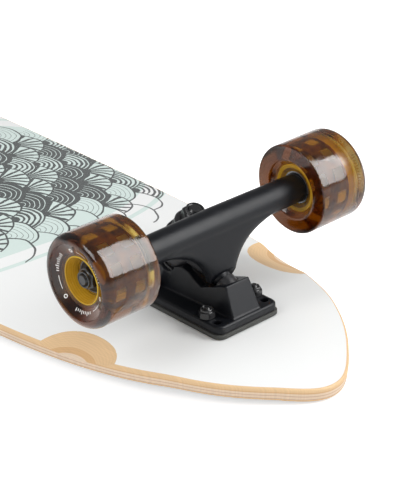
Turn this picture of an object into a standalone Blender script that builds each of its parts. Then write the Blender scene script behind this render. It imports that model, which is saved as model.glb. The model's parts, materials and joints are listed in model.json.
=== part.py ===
"""Cruiser skateboard, lying upside down on its nose and tail tips.

Metres, +Z up, +X towards the nose. The board is turned over, so its painted
face and its trucks point up and the grip tape faces the floor. Seen in this
pose, the rider's left side is -Y. Every piece is one closed solid.
"""
import math

import bmesh
import bpy
from mathutils import Matrix, Vector

# Clearances
SEAT_GAP = 0.0003
SWEEP_GAP = 0.0009
WELD_DISTANCE = 0.00003
CUT_MARGIN = 0.003

# Deck
DECK_WIDTH = 0.2134
DECK_THICKNESS = 0.0095
DECK_EDGE_ROUND = 0.0018
WHEELBASE = 0.3683
NOSE_LENGTH = 0.0925
TAIL_LENGTH = 0.1651
FLAT_HALF_WIDTH = 0.028
CONCAVE_DEPTH = 0.0096
CONCAVE_POWER = 1.3
NOSE_KICK_ANGLE = math.radians(7.7)
NOSE_KICK_START = 0.011
NOSE_KICK_BEND = 0.016
TAIL_KICK_ANGLE = math.radians(19.0)
TAIL_KICK_START = 0.030
TAIL_KICK_BEND = 0.060
GRIP_THICKNESS = 0.0009
GRIP_EDGE_INSET = 0.0012

# Deck outline: the corners are where the round tips meet the long sides
NOSE_TIP_ROUND = 0.011
NOSE_CORNER_SETBACK = 0.0245
NOSE_CORNER_HALF_WIDTH = 0.0378
NOSE_CORNER_ANGLE = math.radians(45.0)
NOSE_CORNER_TIP_HANDLE = 0.026
NOSE_CORNER_SIDE_HANDLE = 0.0585
NOSE_TAPER = 0.304
NOSE_TAPER_HANDLE = 0.171
TAIL_TIP_ROUND = 0.040
TAIL_CORNER_SETBACK = 0.046
TAIL_CORNER_HALF_WIDTH = 0.0665
TAIL_CORNER_ANGLE = math.radians(35.0)
TAIL_CORNER_TIP_HANDLE = 0.028
TAIL_CORNER_SIDE_HANDLE = 0.060
TAIL_TAPER = 0.330
TAIL_TAPER_HANDLE = 0.150
NOSE_TIP_STEPS = 8
NOSE_SIDE_STEPS = 12
TAIL_SIDE_STEPS = 10
TAIL_TIP_STEPS = 7

# Wheel wells, shallow round scoops sanded into the painted face
WELL_RADIUS = 0.0303
WELL_DEPTH = 0.0042
WELL_LEAN = 0.9
WELL_SETBACK = 0.0275
WELL_HALF_SPACING = 0.0965
WELL_FACETS = 32
WELL_STEPS = 6

# Mounting bolts
BOLT_SPACING_X = 0.05398
LONG_BOLT_SPACING_X = 0.0635
BOLT_SPACING_Y = 0.04128
INNER_BOLT_TO_AXLE = 0.038
BOLT_RADIUS = 0.0024
BOLT_HEAD_RADIUS = 0.0046
BOLT_HEAD_HEIGHT = 0.0026
BOLT_PROTRUSION = 0.0012
BOLT_CHAMFER = 0.0008
BOLT_NUT_WIDTH = 0.0095
BOLT_NUT_HEIGHT = 0.0062

# Lock nuts, as shares of a nut's width and height
NUT_COLLAR_SHARE = 0.42
NUT_HEX_SHARE = 0.68

# Riser pad and baseplate
RISER_THICKNESS = 0.0032
RISER_LEDGE = 0.001
TRUCK_HEIGHT = 0.058
BASE_OUTER_REACH = 0.0332
BASE_INNER_REACH = 0.0495
BASE_HALF_WIDTH = 0.0259
BASE_CORNER_RADIUS = 0.005
FLANGE_THICKNESS = 0.0053
FLANGE_CHAMFER = 0.001
BOSS_HALF_WIDTH = 0.0115
BOSS_FOOT_X = 0.0310
BOSS_TOP_X = 0.0225
BOSS_TOP_HEIGHT = 0.0254
SPINE_TAPER = 0.031
SPINE_DRAFT = 0.089
VALLEY_X = 0.0006
VALLEY_HEIGHT = 0.0174
SLOPE_X = -0.0066
SLOPE_HEIGHT = 0.0207
SHOULDER_X = -0.0102
SHOULDER_HEIGHT = 0.0232
HUMP_X = -0.0178
HUMP_HEIGHT = 0.0250
HUMP_SLOPE = math.radians(20.6)
SEAT_REACH = 0.0140
SEAT_DRUM_RADIUS = 0.0140
SEAT_MARGIN = 0.0006

# Kingpin and its stack, from the free end down to the seat
KINGPIN_TILT = math.radians(20.5)
KINGPIN_END_X = -0.0148
KINGPIN_END_HEIGHT = 0.0643
KINGPIN_RADIUS = 0.00476
KINGPIN_HEAD_RADIUS = 0.0072
KINGPIN_HEAD_HEIGHT = 0.0055
KINGPIN_HEAD_DEPTH = 0.0105
KINGPIN_PROTRUSION = 0.0012
PIN_CHAMFER = 0.0009
KINGPIN_NUT_WIDTH = 0.0143
KINGPIN_NUT_HEIGHT = 0.0090
TOP_WASHER_RADIUS = 0.0113
WASHER_THICKNESS = 0.0018
WASHER_LIP = 0.0012
TOP_BUSHING_RADIUS = 0.0120
TOP_BUSHING_HEIGHT = 0.0095
BOTTOM_BUSHING_RADIUS = 0.0122
BOTTOM_BUSHING_HEIGHT = 0.0138
BOTTOM_WASHER_RADIUS = 0.0119
BUSHING_BULGE_LOW = 0.25
BUSHING_BULGE_HIGH = 0.6

# Hanger
STEER_LIMIT = math.radians(15.0)
PIVOT_X = 0.0185
PIVOT_HEIGHT = 0.0165
PIVOT_RADIUS = 0.0050
PIVOT_CUP_WALL = 0.0020
PIVOT_CUP_DEPTH = 0.0092
PIVOT_CUP_FLOOR = 0.0022
PIVOT_TIP_ROUND = 0.0020
BOSS_CLEARING_RADIUS = 0.045
NECK_RADIUS = 0.0066
NECK_LENGTH = 0.0200
HANGER_HALF_LENGTH = 0.0745
HANGER_END_RADIUS = 0.0096
HANGER_END_CHAMFER = 0.0008
HANGER_MID_RADIUS = 0.0104
RING_RADIUS = 0.0150
RING_THICKNESS = 0.0090
RING_BORE_RADIUS = 0.0082
RING_STEPS = 12
RING_ARM_LENGTH = 0.0270
RING_ARM_HALF_WIDTH = 0.0090
WEB_FOOT_HEIGHT = 0.0216
WEB_FOOT_HALF_WIDTH = 0.0094
WEB_FLARE = 0.0126
WEB_FLARE_LIMIT = 1.25
WEB_FLARE_DROP = 0.0050
WEB_TOP_HALF_WIDTH = 0.0600
WEB_FOOT_OUTER_X = 0.0125
WEB_FOOT_INNER_X = 0.0010
WEB_TOP_INSET = 0.0006
WEB_LEVELS = 9
WEB_ROUNDNESS = 3.2

# Axle, wheels and bearings
AXLE_RADIUS = 0.0040
AXLE_PROTRUSION = 0.0008
AXLE_NUT_WIDTH = 0.0127
AXLE_NUT_HEIGHT = 0.0062
WHEEL_DIAMETER = 0.061
WHEEL_WIDTH = 0.0419
WHEEL_INNER_OFFSET = 0.0697
WHEEL_INNER_EDGE = 0.0016
WHEEL_LIP = 0.0058
WHEEL_LIP_STEPS = 3
WHEEL_FACE_RADIUS = 0.0247
WHEEL_DISH_RADIUS = 0.0160
WHEEL_DISH_DEPTH = 0.0047
WHEEL_BACK_DISH_RADIUS = 0.0200
CORE_RADIUS = 0.0165
CORE_LIP_THICKNESS = 0.0016
CORE_WEB_RADIUS = 0.0085
CORE_RIM_WIDTH = 0.0010
BEARING_OUTER_RADIUS = 0.0110
BEARING_WIDTH = 0.0070
BEARING_SPACING = 0.0100

# Facets round each kind of turned piece
WHEEL_FACETS = 32
CORE_FACETS = 20
BEARING_FACETS = 16
BUSHING_FACETS = 16
SMALL_FACETS = 12
HANGER_FACETS = 20

# Places worked out from the sizes above
AXLE_SPACING = WHEELBASE + 2.0 * INNER_BOLT_TO_AXLE
AXLE_X = AXLE_SPACING / 2.0
AXLE_Z = RISER_THICKNESS + TRUCK_HEIGHT
OUTER_BOLT_X = BOLT_SPACING_X - INNER_BOLT_TO_AXLE
LONG_BOLT_X = LONG_BOLT_SPACING_X - INNER_BOLT_TO_AXLE
NOSE_X = AXLE_X + OUTER_BOLT_X + NOSE_LENGTH
TAIL_X = -AXLE_X - OUTER_BOLT_X - TAIL_LENGTH
NOSE_KICK_X = AXLE_X + OUTER_BOLT_X + NOSE_KICK_START
TAIL_KICK_X = -AXLE_X - OUTER_BOLT_X - TAIL_KICK_START
BOLT_HOLE_RADIUS = BOLT_RADIUS + SEAT_GAP
RISER_BOTTOM = SEAT_GAP
BASE_BOTTOM = RISER_THICKNESS + SEAT_GAP
FLANGE_TOP = BASE_BOTTOM + FLANGE_THICKNESS
STACK_HEIGHT = (KINGPIN_PROTRUSION + KINGPIN_NUT_HEIGHT + 2.0 * WASHER_THICKNESS
                + TOP_BUSHING_HEIGHT + RING_THICKNESS + BOTTOM_BUSHING_HEIGHT + 6.0 * SEAT_GAP)
KINGPIN_AXIS = Vector((math.sin(KINGPIN_TILT), 0.0, math.cos(KINGPIN_TILT)))
KINGPIN_END = Vector((KINGPIN_END_X, 0.0, RISER_THICKNESS + KINGPIN_END_HEIGHT))
SEAT_CENTRE = KINGPIN_END - STACK_HEIGHT * KINGPIN_AXIS
BOTTOM_WASHER_S = SEAT_GAP
BOTTOM_BUSHING_S = BOTTOM_WASHER_S + WASHER_THICKNESS + SEAT_GAP
RING_S = BOTTOM_BUSHING_S + BOTTOM_BUSHING_HEIGHT + SEAT_GAP
TOP_BUSHING_S = RING_S + RING_THICKNESS + SEAT_GAP
TOP_WASHER_S = TOP_BUSHING_S + TOP_BUSHING_HEIGHT + SEAT_GAP
KINGPIN_NUT_S = TOP_WASHER_S + WASHER_THICKNESS + SEAT_GAP
RING_CENTRE = SEAT_CENTRE + (RING_S + RING_THICKNESS / 2.0) * KINGPIN_AXIS
PIVOT_CENTRE = Vector((PIVOT_X, 0.0, RISER_THICKNESS + PIVOT_HEIGHT))
STEER_AXIS = (PIVOT_CENTRE - RING_CENTRE).normalized()
STEER_LENGTH = (PIVOT_CENTRE - RING_CENTRE).length
STEER_ROTATION = math.atan2(STEER_AXIS.x, STEER_AXIS.z)
WHEEL_RADIUS = WHEEL_DIAMETER / 2.0
INNER_BEARING_Y = HANGER_HALF_LENGTH + SEAT_GAP
OUTER_BEARING_Y = INNER_BEARING_Y + BEARING_WIDTH + BEARING_SPACING
BEARING_SEAT_RADIUS = BEARING_OUTER_RADIUS + SEAT_GAP
AXLE_NUT_Y = OUTER_BEARING_Y + BEARING_WIDTH + SEAT_GAP
AXLE_HALF_LENGTH = AXLE_NUT_Y + AXLE_NUT_HEIGHT + AXLE_PROTRUSION


def clear_scene():
    for thing in list(bpy.data.objects):
        bpy.data.objects.remove(thing, do_unlink=True)


def material(name, colour, roughness, metallic=0.0):
    """A plain Principled material in the colour of the real piece."""
    made = bpy.data.materials.new(name)
    made.use_nodes = True
    shader = made.node_tree.nodes["Principled BSDF"]
    shader.inputs["Base Color"].default_value = (*colour, 1.0)
    shader.inputs["Roughness"].default_value = roughness
    shader.inputs["Metallic"].default_value = metallic
    return made


def place(made, parent, location, rotation):
    bpy.context.scene.collection.objects.link(made)
    made.parent = parent
    made.location = location
    made.rotation_euler = rotation
    return made


def empty(name, parent=None, location=(0.0, 0.0, 0.0), rotation=(0.0, 0.0, 0.0)):
    return place(bpy.data.objects.new(name, None), parent, location, rotation)


def solid(name, bm, finish, parent, location=(0.0, 0.0, 0.0), rotation=(0.0, 0.0, 0.0)):
    """Turn a bmesh into an object with outward faces, shaded smooth over round parts."""
    bmesh.ops.remove_doubles(bm, verts=bm.verts, dist=1e-6)
    bmesh.ops.recalc_face_normals(bm, faces=bm.faces)
    mesh = bpy.data.meshes.new(name)
    bm.to_mesh(mesh)
    bm.free()
    mesh.shade_smooth()
    mesh.set_sharp_from_angle(angle=math.radians(35.0))
    made = place(bpy.data.objects.new(name, mesh), parent, location, rotation)
    if finish is not None:
        mesh.materials.append(finish)
    return made


def helper(name, bm, parent, location=(0.0, 0.0, 0.0), rotation=(0.0, 0.0, 0.0)):
    """A cutter or a lump for a Boolean, which is no piece of its own."""
    made = solid(name, bm, None, parent, location, rotation)
    made.hide_render = True
    made.display_type = "WIRE"
    return made


def combine(target, operand, operation):
    step = target.modifiers.new(operand.name, "BOOLEAN")
    step.operation = operation
    step.solver = "EXACT"
    step.object = operand


def weld(target):
    """Close up the hair-thin slivers that a cut leaves where facets nearly meet."""
    step = target.modifiers.new("weld", "WELD")
    step.merge_threshold = WELD_DISTANCE


def turned(profile, facets):
    """Spin a closed outline of (radius, height) pairs about Z."""
    bm = bmesh.new()
    ring = [bm.verts.new((radius, 0.0, height)) for radius, height in profile]
    edges = []
    for start, end in zip(ring, ring[1:] + ring[:1]):
        if profile[ring.index(start)][0] > 0.0 or profile[ring.index(end)][0] > 0.0:
            edges.append(bm.edges.new((start, end)))
    bmesh.ops.spin(bm, geom=ring + edges, axis=(0, 0, 1), cent=(0, 0, 0), dvec=(0, 0, 0),
                   angle=math.tau, steps=facets, use_merge=True)
    bmesh.ops.remove_doubles(bm, verts=bm.verts, dist=1e-7)
    bmesh.ops.dissolve_degenerate(bm, edges=bm.edges, dist=1e-7)
    return bm


def rod(radius, low, high, facets):
    return turned([(0.0, low), (radius, low), (radius, high), (0.0, high)], facets)


def tube(outer, inner, low, high, facets):
    return turned([(inner, low), (outer, low), (outer, high), (inner, high)], facets)


def inset_outline(outline, inset):
    """Move each point of a closed anticlockwise outline inwards."""
    moved = []
    for index, point in enumerate(outline):
        before = outline[index - 1]
        after = outline[(index + 1) % len(outline)]
        along = Vector((after[0] - before[0], after[1] - before[1])).normalized()
        moved.append((point[0] - along.y * inset, point[1] + along.x * inset))
    return moved


def layered(outline, layers):
    """Stack copies of an outline, each (inset, height), into one closed solid."""
    bm = bmesh.new()
    rings = []
    for inset, height in layers:
        points = inset_outline(outline, inset)
        rings.append([bm.verts.new((x, y, height)) for x, y in points])
    count = len(outline)
    for low, high in zip(rings, rings[1:]):
        for index in range(count):
            other = (index + 1) % count
            bm.faces.new((low[index], low[other], high[other], high[index]))
    bm.faces.new(list(reversed(rings[0])))
    bm.faces.new(rings[-1])
    return bm


def rounded_rectangle(low_x, high_x, half_width, radius, steps=4):
    """Anticlockwise outline with round corners."""
    outline = []
    centres = ((high_x - radius, half_width - radius, 0.0), (low_x + radius, half_width - radius, 0.25),
               (low_x + radius, radius - half_width, 0.5), (high_x - radius, radius - half_width, 0.75))
    for centre_x, centre_y, turn in centres:
        for step in range(steps + 1):
            angle = (turn + 0.25 * step / steps) * math.tau
            outline.append((centre_x + radius * math.cos(angle), centre_y + radius * math.sin(angle)))
    return outline


def stadium(radius, half_run, steps=12):
    """Anticlockwise outline of a slot along Y with round ends."""
    outline = []
    for centre, start in ((half_run, 0.0), (-half_run, 0.5)):
        for step in range(steps + 1):
            angle = (start + 0.5 * step / steps) * math.tau
            outline.append((radius * math.cos(angle), centre + radius * math.sin(angle)))
    return outline


def lock_nut(width, height, bore):
    """A hexagon with a round collar on top and a round bore."""
    collar = NUT_COLLAR_SHARE * width
    shoulder = NUT_HEX_SHARE * height
    flat = width / 2.0
    bm = bmesh.new()
    rings = []
    sections = ((flat, True, 0.0), (flat, True, shoulder), (collar, False, shoulder),
                (collar, False, height), (bore, False, height), (bore, False, 0.0))
    for radius, hexagonal, level in sections:
        ring = []
        for index in range(SMALL_FACETS):
            angle = index * math.tau / SMALL_FACETS
            reach = radius
            if hexagonal and index % 2 == 0:
                reach = radius / math.cos(math.pi / 6.0)
            ring.append(bm.verts.new((reach * math.cos(angle), reach * math.sin(angle), level)))
        rings.append(ring)
    for low, high in zip(rings, rings[1:] + rings[:1]):
        for index in range(SMALL_FACETS):
            other = (index + 1) % SMALL_FACETS
            bm.faces.new((low[index], low[other], high[other], high[index]))
    return bm


def bend(distance, length, angle):
    """Drop and slope of a face that bends over a length and then runs straight."""
    if distance <= 0.0:
        return 0.0, 0.0
    slope = math.tan(angle)
    if distance < length:
        return slope * distance * distance / (2.0 * length), slope * distance / length
    return slope * (distance - length / 2.0), slope


def deck_point(x, y, depth):
    """The point at a depth below the painted face, which is curved across and kicked at its ends."""
    span = DECK_WIDTH / 2.0 - FLAT_HALF_WIDTH
    across = max(abs(y) - FLAT_HALF_WIDTH, 0.0) / span
    nose_drop, nose_slope = bend(x - NOSE_KICK_X, NOSE_KICK_BEND, NOSE_KICK_ANGLE)
    tail_drop, tail_slope = bend(TAIL_KICK_X - x, TAIL_KICK_BEND, TAIL_KICK_ANGLE)
    height = -CONCAVE_DEPTH * across ** CONCAVE_POWER - nose_drop - tail_drop
    slope_x = tail_slope - nose_slope
    slope_y = 0.0
    if across > 0.0:
        slope_y = -CONCAVE_DEPTH * CONCAVE_POWER * across ** (CONCAVE_POWER - 1.0) / span
        slope_y = math.copysign(slope_y, -y)
    normal = Vector((-slope_x, -slope_y, 1.0)).normalized()
    return Vector((x, y, height)) - depth * normal


def ahead(point, direction, distance):
    """The point at a distance along a flat direction."""
    return point[0] + distance * direction[0], point[1] + distance * direction[1]


def bezier(start, start_handle, end_handle, end, steps):
    """Points along a cubic curve, without its last one."""
    points = []
    for step in range(steps):
        t = step / steps
        weights = ((1 - t) ** 3, 3 * t * (1 - t) ** 2, 3 * t * t * (1 - t), t ** 3)
        knots = (start, start_handle, end_handle, end)
        points.append((sum(w * k[0] for w, k in zip(weights, knots)),
                       sum(w * k[1] for w, k in zip(weights, knots))))
    return points


def deck_outline():
    """Anticlockwise from the nose tip round the +Y side to the tail and back."""
    half = DECK_WIDTH / 2.0
    corner = (NOSE_X - NOSE_CORNER_SETBACK, NOSE_CORNER_HALF_WIDTH)
    along = (math.cos(NOSE_CORNER_ANGLE), -math.sin(NOSE_CORNER_ANGLE))
    wide = (NOSE_X - NOSE_TAPER, half)
    side = bezier((NOSE_X, 0.0), (NOSE_X, NOSE_TIP_ROUND), ahead(corner, along, NOSE_CORNER_TIP_HANDLE),
                  corner, NOSE_TIP_STEPS)
    side += bezier(corner, ahead(corner, along, -NOSE_CORNER_SIDE_HANDLE),
                   (wide[0] + NOSE_TAPER_HANDLE, half), wide, NOSE_SIDE_STEPS)
    tail_wide = (TAIL_X + TAIL_TAPER, half)
    corner = (TAIL_X + TAIL_CORNER_SETBACK, TAIL_CORNER_HALF_WIDTH)
    along = (math.cos(TAIL_CORNER_ANGLE), math.sin(TAIL_CORNER_ANGLE))
    side += bezier(tail_wide, (tail_wide[0] - TAIL_TAPER_HANDLE, half),
                   ahead(corner, along, TAIL_CORNER_SIDE_HANDLE), corner, TAIL_SIDE_STEPS)
    side += bezier(corner, ahead(corner, along, -TAIL_CORNER_TIP_HANDLE), (TAIL_X, TAIL_TIP_ROUND),
                   (TAIL_X, 0.0), TAIL_TIP_STEPS)
    tail_tip = [(TAIL_X, 0.0)]
    return side + tail_tip + [(x, -y) for x, y in reversed(side[1:])]


def bent_board(outline, layers):
    """A flat sheet of the outline, sliced where it bends and then bent like the deck."""
    bm = layered(outline, [(inset, -depth) for inset, depth in layers])
    half_span = DECK_WIDTH / 2.0 - FLAT_HALF_WIDTH
    lines_y = [FLAT_HALF_WIDTH + half_span * share for share in (0.0, 0.3, 0.62)]
    lines_x = [NOSE_KICK_X + NOSE_KICK_BEND * share for share in (0.0, 0.5, 1.0)]
    lines_x += [TAIL_KICK_X - TAIL_KICK_BEND * share for share in (0.0, 0.25, 0.5, 0.75, 1.0)]
    lines_x += [AXLE_X - BASE_INNER_REACH, 0.0, BASE_INNER_REACH - AXLE_X]
    for line in lines_x:
        bmesh.ops.bisect_plane(bm, geom=bm.verts[:] + bm.edges[:] + bm.faces[:],
                               plane_co=(line, 0, 0), plane_no=(1, 0, 0), dist=1e-7)
    for line in lines_y:
        for side in (-1.0, 1.0):
            bmesh.ops.bisect_plane(bm, geom=bm.verts[:] + bm.edges[:] + bm.faces[:],
                                   plane_co=(0, side * line, 0), plane_no=(0, 1, 0), dist=1e-7)
    bmesh.ops.triangulate(bm, faces=[face for face in bm.faces if len(face.verts) > 4])
    for vert in bm.verts:
        vert.co = deck_point(vert.co.x, vert.co.y, -vert.co.z)
    return bm


def hands(truck_name):
    """The rider's left and right as sides of a truck's own Y; the rear truck is turned round."""
    if truck_name == "front":
        return ("left", -1.0), ("right", 1.0)
    return ("left", 1.0), ("right", -1.0)


def places_across(levels):
    """(x, y) of a pair of bolts at each x, from the point under the axle."""
    return [(x, side * BOLT_SPACING_Y / 2.0) for x in levels for side in (-1.0, 1.0)]


def repeated(make_shape, places):
    """Copies of an upright shape at each (x, y), in one mesh."""
    bm = bmesh.new()
    for x, y in places:
        shape = make_shape()
        shape.transform(Matrix.Translation((x, y, 0.0)))
        mesh = bpy.data.meshes.new("shape")
        shape.to_mesh(mesh)
        shape.free()
        bm.from_mesh(mesh)
        bpy.data.meshes.remove(mesh)
    return bm


def hole_rods(low, high):
    return lambda: rod(BOLT_HOLE_RADIUS, low, high, SMALL_FACETS)


def scoop(name, board, truck_x, inward, side):
    """The round cap that a sanding drum leaves in the deck's edge, deeper on its outer side."""
    radius = (WELL_RADIUS ** 2 + WELL_DEPTH ** 2) / (2.0 * WELL_DEPTH)
    reach = WELL_RADIUS + 2.0 * CUT_MARGIN
    profile = [(0.0, -WELL_DEPTH)]
    for step in range(1, WELL_STEPS + 1):
        across = reach * step / WELL_STEPS
        profile.append((across, radius - WELL_DEPTH - math.sqrt(radius ** 2 - across ** 2)))
    top = profile[-1][1] + CUT_MARGIN
    profile += [(reach, top), (0.0, top)]
    x = truck_x + inward * WELL_SETBACK
    centre = deck_point(x, side * WELL_HALF_SPACING, 0.0)
    below = deck_point(x, side * WELL_HALF_SPACING, 1.0)
    lean = math.atan2(centre.y - below.y, centre.z - below.z)
    shape = turned(profile, WELL_FACETS)
    for vert in shape.verts:
        if vert.co.z < 0.0:
            vert.co.z *= 1.0 + WELL_LEAN * side * vert.co.y / WELL_RADIUS
    return helper(name, shape, board, centre, (-lean, 0.0, 0.0))


def make_deck(board, trucks, finishes):
    outline = deck_outline()
    layers = [(DECK_EDGE_ROUND, 0.0), (0.0, DECK_EDGE_ROUND),
              (0.0, DECK_THICKNESS - DECK_EDGE_ROUND), (DECK_EDGE_ROUND, DECK_THICKNESS)]
    deck = solid("deck", bent_board(outline, layers), finishes["wood"], board)
    inset = DECK_EDGE_ROUND + GRIP_EDGE_INSET
    top = DECK_THICKNESS + SEAT_GAP
    grip = solid("grip_tape", bent_board(outline, [(inset, top), (inset, top + GRIP_THICKNESS)]),
                 finishes["grip"], board)
    for end, inward in (("front", -1.0), ("rear", 1.0)):
        for hand, side in (("left", -1.0), ("right", 1.0)):
            well = scoop(f"{end}_{hand}_well", board, -inward * AXLE_X, inward, side)
            combine(deck, well, "DIFFERENCE")
    for end, truck in zip(("front", "rear"), trucks):
        holes = helper(f"{end}_deck_holes", repeated(deck_hole, bolt_places()), truck)
        combine(deck, holes, "DIFFERENCE")
        combine(grip, holes, "DIFFERENCE")
    return deck, grip


def bolt_places():
    """A truck's four bolts."""
    return places_across((-INNER_BOLT_TO_AXLE, OUTER_BOLT_X))


def deck_hole():
    """The cut for a bolt and its countersunk head, up through the grip tape and the deck."""
    face = -DECK_THICKNESS
    below = face - GRIP_THICKNESS - CUT_MARGIN
    head = BOLT_HEAD_RADIUS + SEAT_GAP
    return turned([(0.0, below), (head, below), (head, face), (BOLT_HOLE_RADIUS, face + BOLT_HEAD_HEIGHT),
                   (BOLT_HOLE_RADIUS, CUT_MARGIN), (0.0, CUT_MARGIN)], SMALL_FACETS)


def make_bolts(name, truck, finishes):
    """Countersunk bolts from the grip side up through deck, riser and flange, each with its lock nut."""
    seat = FLANGE_TOP + SEAT_GAP
    end = DECK_THICKNESS + seat + BOLT_NUT_HEIGHT + BOLT_PROTRUSION
    profile = [(0.0, 0.0), (BOLT_HEAD_RADIUS, 0.0), (BOLT_RADIUS, BOLT_HEAD_HEIGHT),
               (BOLT_RADIUS, end - BOLT_CHAMFER), (BOLT_RADIUS - BOLT_CHAMFER, end), (0.0, end)]
    for level, x in (("inner", -INNER_BOLT_TO_AXLE), ("outer", OUTER_BOLT_X)):
        for hand, side in hands(name):
            y = side * BOLT_SPACING_Y / 2.0
            solid(f"{name}_bolt_{level}_{hand}", turned(profile, SMALL_FACETS), finishes["bolt"],
                  truck, (x, y, -DECK_THICKNESS))
            nut = lock_nut(BOLT_NUT_WIDTH, BOLT_NUT_HEIGHT, BOLT_RADIUS + SEAT_GAP)
            solid(f"{name}_bolt_nut_{level}_{hand}", nut, finishes["bolt"], truck, (x, y, seat))


def make_riser(name, truck, finishes):
    outline = rounded_rectangle(-BASE_INNER_REACH - RISER_LEDGE, BASE_OUTER_REACH + RISER_LEDGE,
                                BASE_HALF_WIDTH + RISER_LEDGE, BASE_CORNER_RADIUS + RISER_LEDGE)
    riser = solid(f"{name}_riser_pad", layered(outline, [(0.0, RISER_BOTTOM), (0.0, RISER_THICKNESS)]),
                  finishes["riser"], truck)
    holes = repeated(hole_rods(-CUT_MARGIN, RISER_THICKNESS + CUT_MARGIN), bolt_places())
    combine(riser, helper(f"{name}_riser_holes", holes, truck), "DIFFERENCE")


def base_spine():
    """The flange's spine: pivot boss, valley under the hanger's nose, hump round the kingpin's seat."""
    foot = FLANGE_TOP - FLANGE_THICKNESS / 2.0
    inner_x = SEAT_CENTRE.x - SEAT_REACH
    inner_height = HUMP_HEIGHT - (HUMP_X - inner_x) * math.tan(HUMP_SLOPE)
    profile = [(BOSS_FOOT_X, foot), (BOSS_FOOT_X, FLANGE_TOP)]
    for x, height in ((BOSS_TOP_X, BOSS_TOP_HEIGHT), (VALLEY_X, VALLEY_HEIGHT), (SLOPE_X, SLOPE_HEIGHT),
                      (SHOULDER_X, SHOULDER_HEIGHT), (HUMP_X, HUMP_HEIGHT), (inner_x, inner_height)):
        profile.append((x, RISER_THICKNESS + height))
    profile.append((inner_x, foot))
    bm = bmesh.new()
    sides = []
    for side in (-1.0, 1.0):
        ring = []
        for x, z in profile:
            y = BOSS_HALF_WIDTH + (BOSS_FOOT_X - x) * SPINE_TAPER - (z - FLANGE_TOP) * SPINE_DRAFT
            ring.append(bm.verts.new((x, side * y, z)))
        sides.append(ring)
    count = len(profile)
    for index in range(count):
        other = (index + 1) % count
        bm.faces.new((sides[0][index], sides[0][other], sides[1][other], sides[1][index]))
    bm.faces.new(sides[0])
    bm.faces.new(list(reversed(sides[1])))
    return bm


def make_baseplate(name, truck, kingpin_line, steer_line, finishes):
    outline = rounded_rectangle(-BASE_INNER_REACH, BASE_OUTER_REACH, BASE_HALF_WIDTH, BASE_CORNER_RADIUS)
    layers = [(0.0, BASE_BOTTOM), (0.0, FLANGE_TOP - FLANGE_CHAMFER), (FLANGE_CHAMFER, FLANGE_TOP)]
    base = solid(f"{name}_baseplate", layered(outline, layers), finishes["cast"], truck)
    combine(base, helper(f"{name}_spine", base_spine(), truck), "UNION")
    mouth = STEER_LENGTH - PIVOT_CUP_DEPTH
    socket = rod(PIVOT_RADIUS + PIVOT_CUP_WALL + 2.0 * SEAT_GAP, mouth - PIVOT_CUP_DEPTH,
                 STEER_LENGTH + SEAT_GAP, BUSHING_FACETS)
    combine(base, helper(f"{name}_pivot_socket", socket, steer_line), "DIFFERENCE")
    cup = rod(BOTTOM_BUSHING_RADIUS + SEAT_MARGIN, -WASHER_THICKNESS, STACK_HEIGHT, BUSHING_FACETS)
    combine(base, helper(f"{name}_seat_cup", cup, kingpin_line), "DIFFERENCE")
    seat_height = SEAT_CENTRE.z / math.cos(KINGPIN_TILT)
    drum = rod(SEAT_DRUM_RADIUS, FLANGE_TOP - seat_height, 0.0, BUSHING_FACETS)
    combine(base, helper(f"{name}_seat_drum", drum, kingpin_line), "UNION")
    weld(base)
    channel = rod(WEB_FOOT_HALF_WIDTH + SWEEP_GAP, 0.0, mouth, BUSHING_FACETS)
    combine(base, helper(f"{name}_nose_channel", channel, steer_line), "DIFFERENCE")
    weld(base)
    bottom = -seat_height - KINGPIN_HEAD_RADIUS
    bore = turned([(0.0, bottom), (KINGPIN_HEAD_RADIUS + SEAT_GAP, bottom),
                   (KINGPIN_HEAD_RADIUS + SEAT_GAP, -KINGPIN_HEAD_DEPTH),
                   (KINGPIN_RADIUS + SEAT_GAP, -KINGPIN_HEAD_DEPTH),
                   (KINGPIN_RADIUS + SEAT_GAP, WASHER_THICKNESS), (0.0, WASHER_THICKNESS)], SMALL_FACETS)
    combine(base, helper(f"{name}_kingpin_bore", bore, kingpin_line), "DIFFERENCE")
    weld(base)
    places = places_across((-INNER_BOLT_TO_AXLE, OUTER_BOLT_X, LONG_BOLT_X))
    holes = repeated(hole_rods(BASE_BOTTOM - CUT_MARGIN, FLANGE_TOP + CUT_MARGIN), places)
    combine(base, helper(f"{name}_base_holes", holes, truck), "DIFFERENCE")


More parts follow.
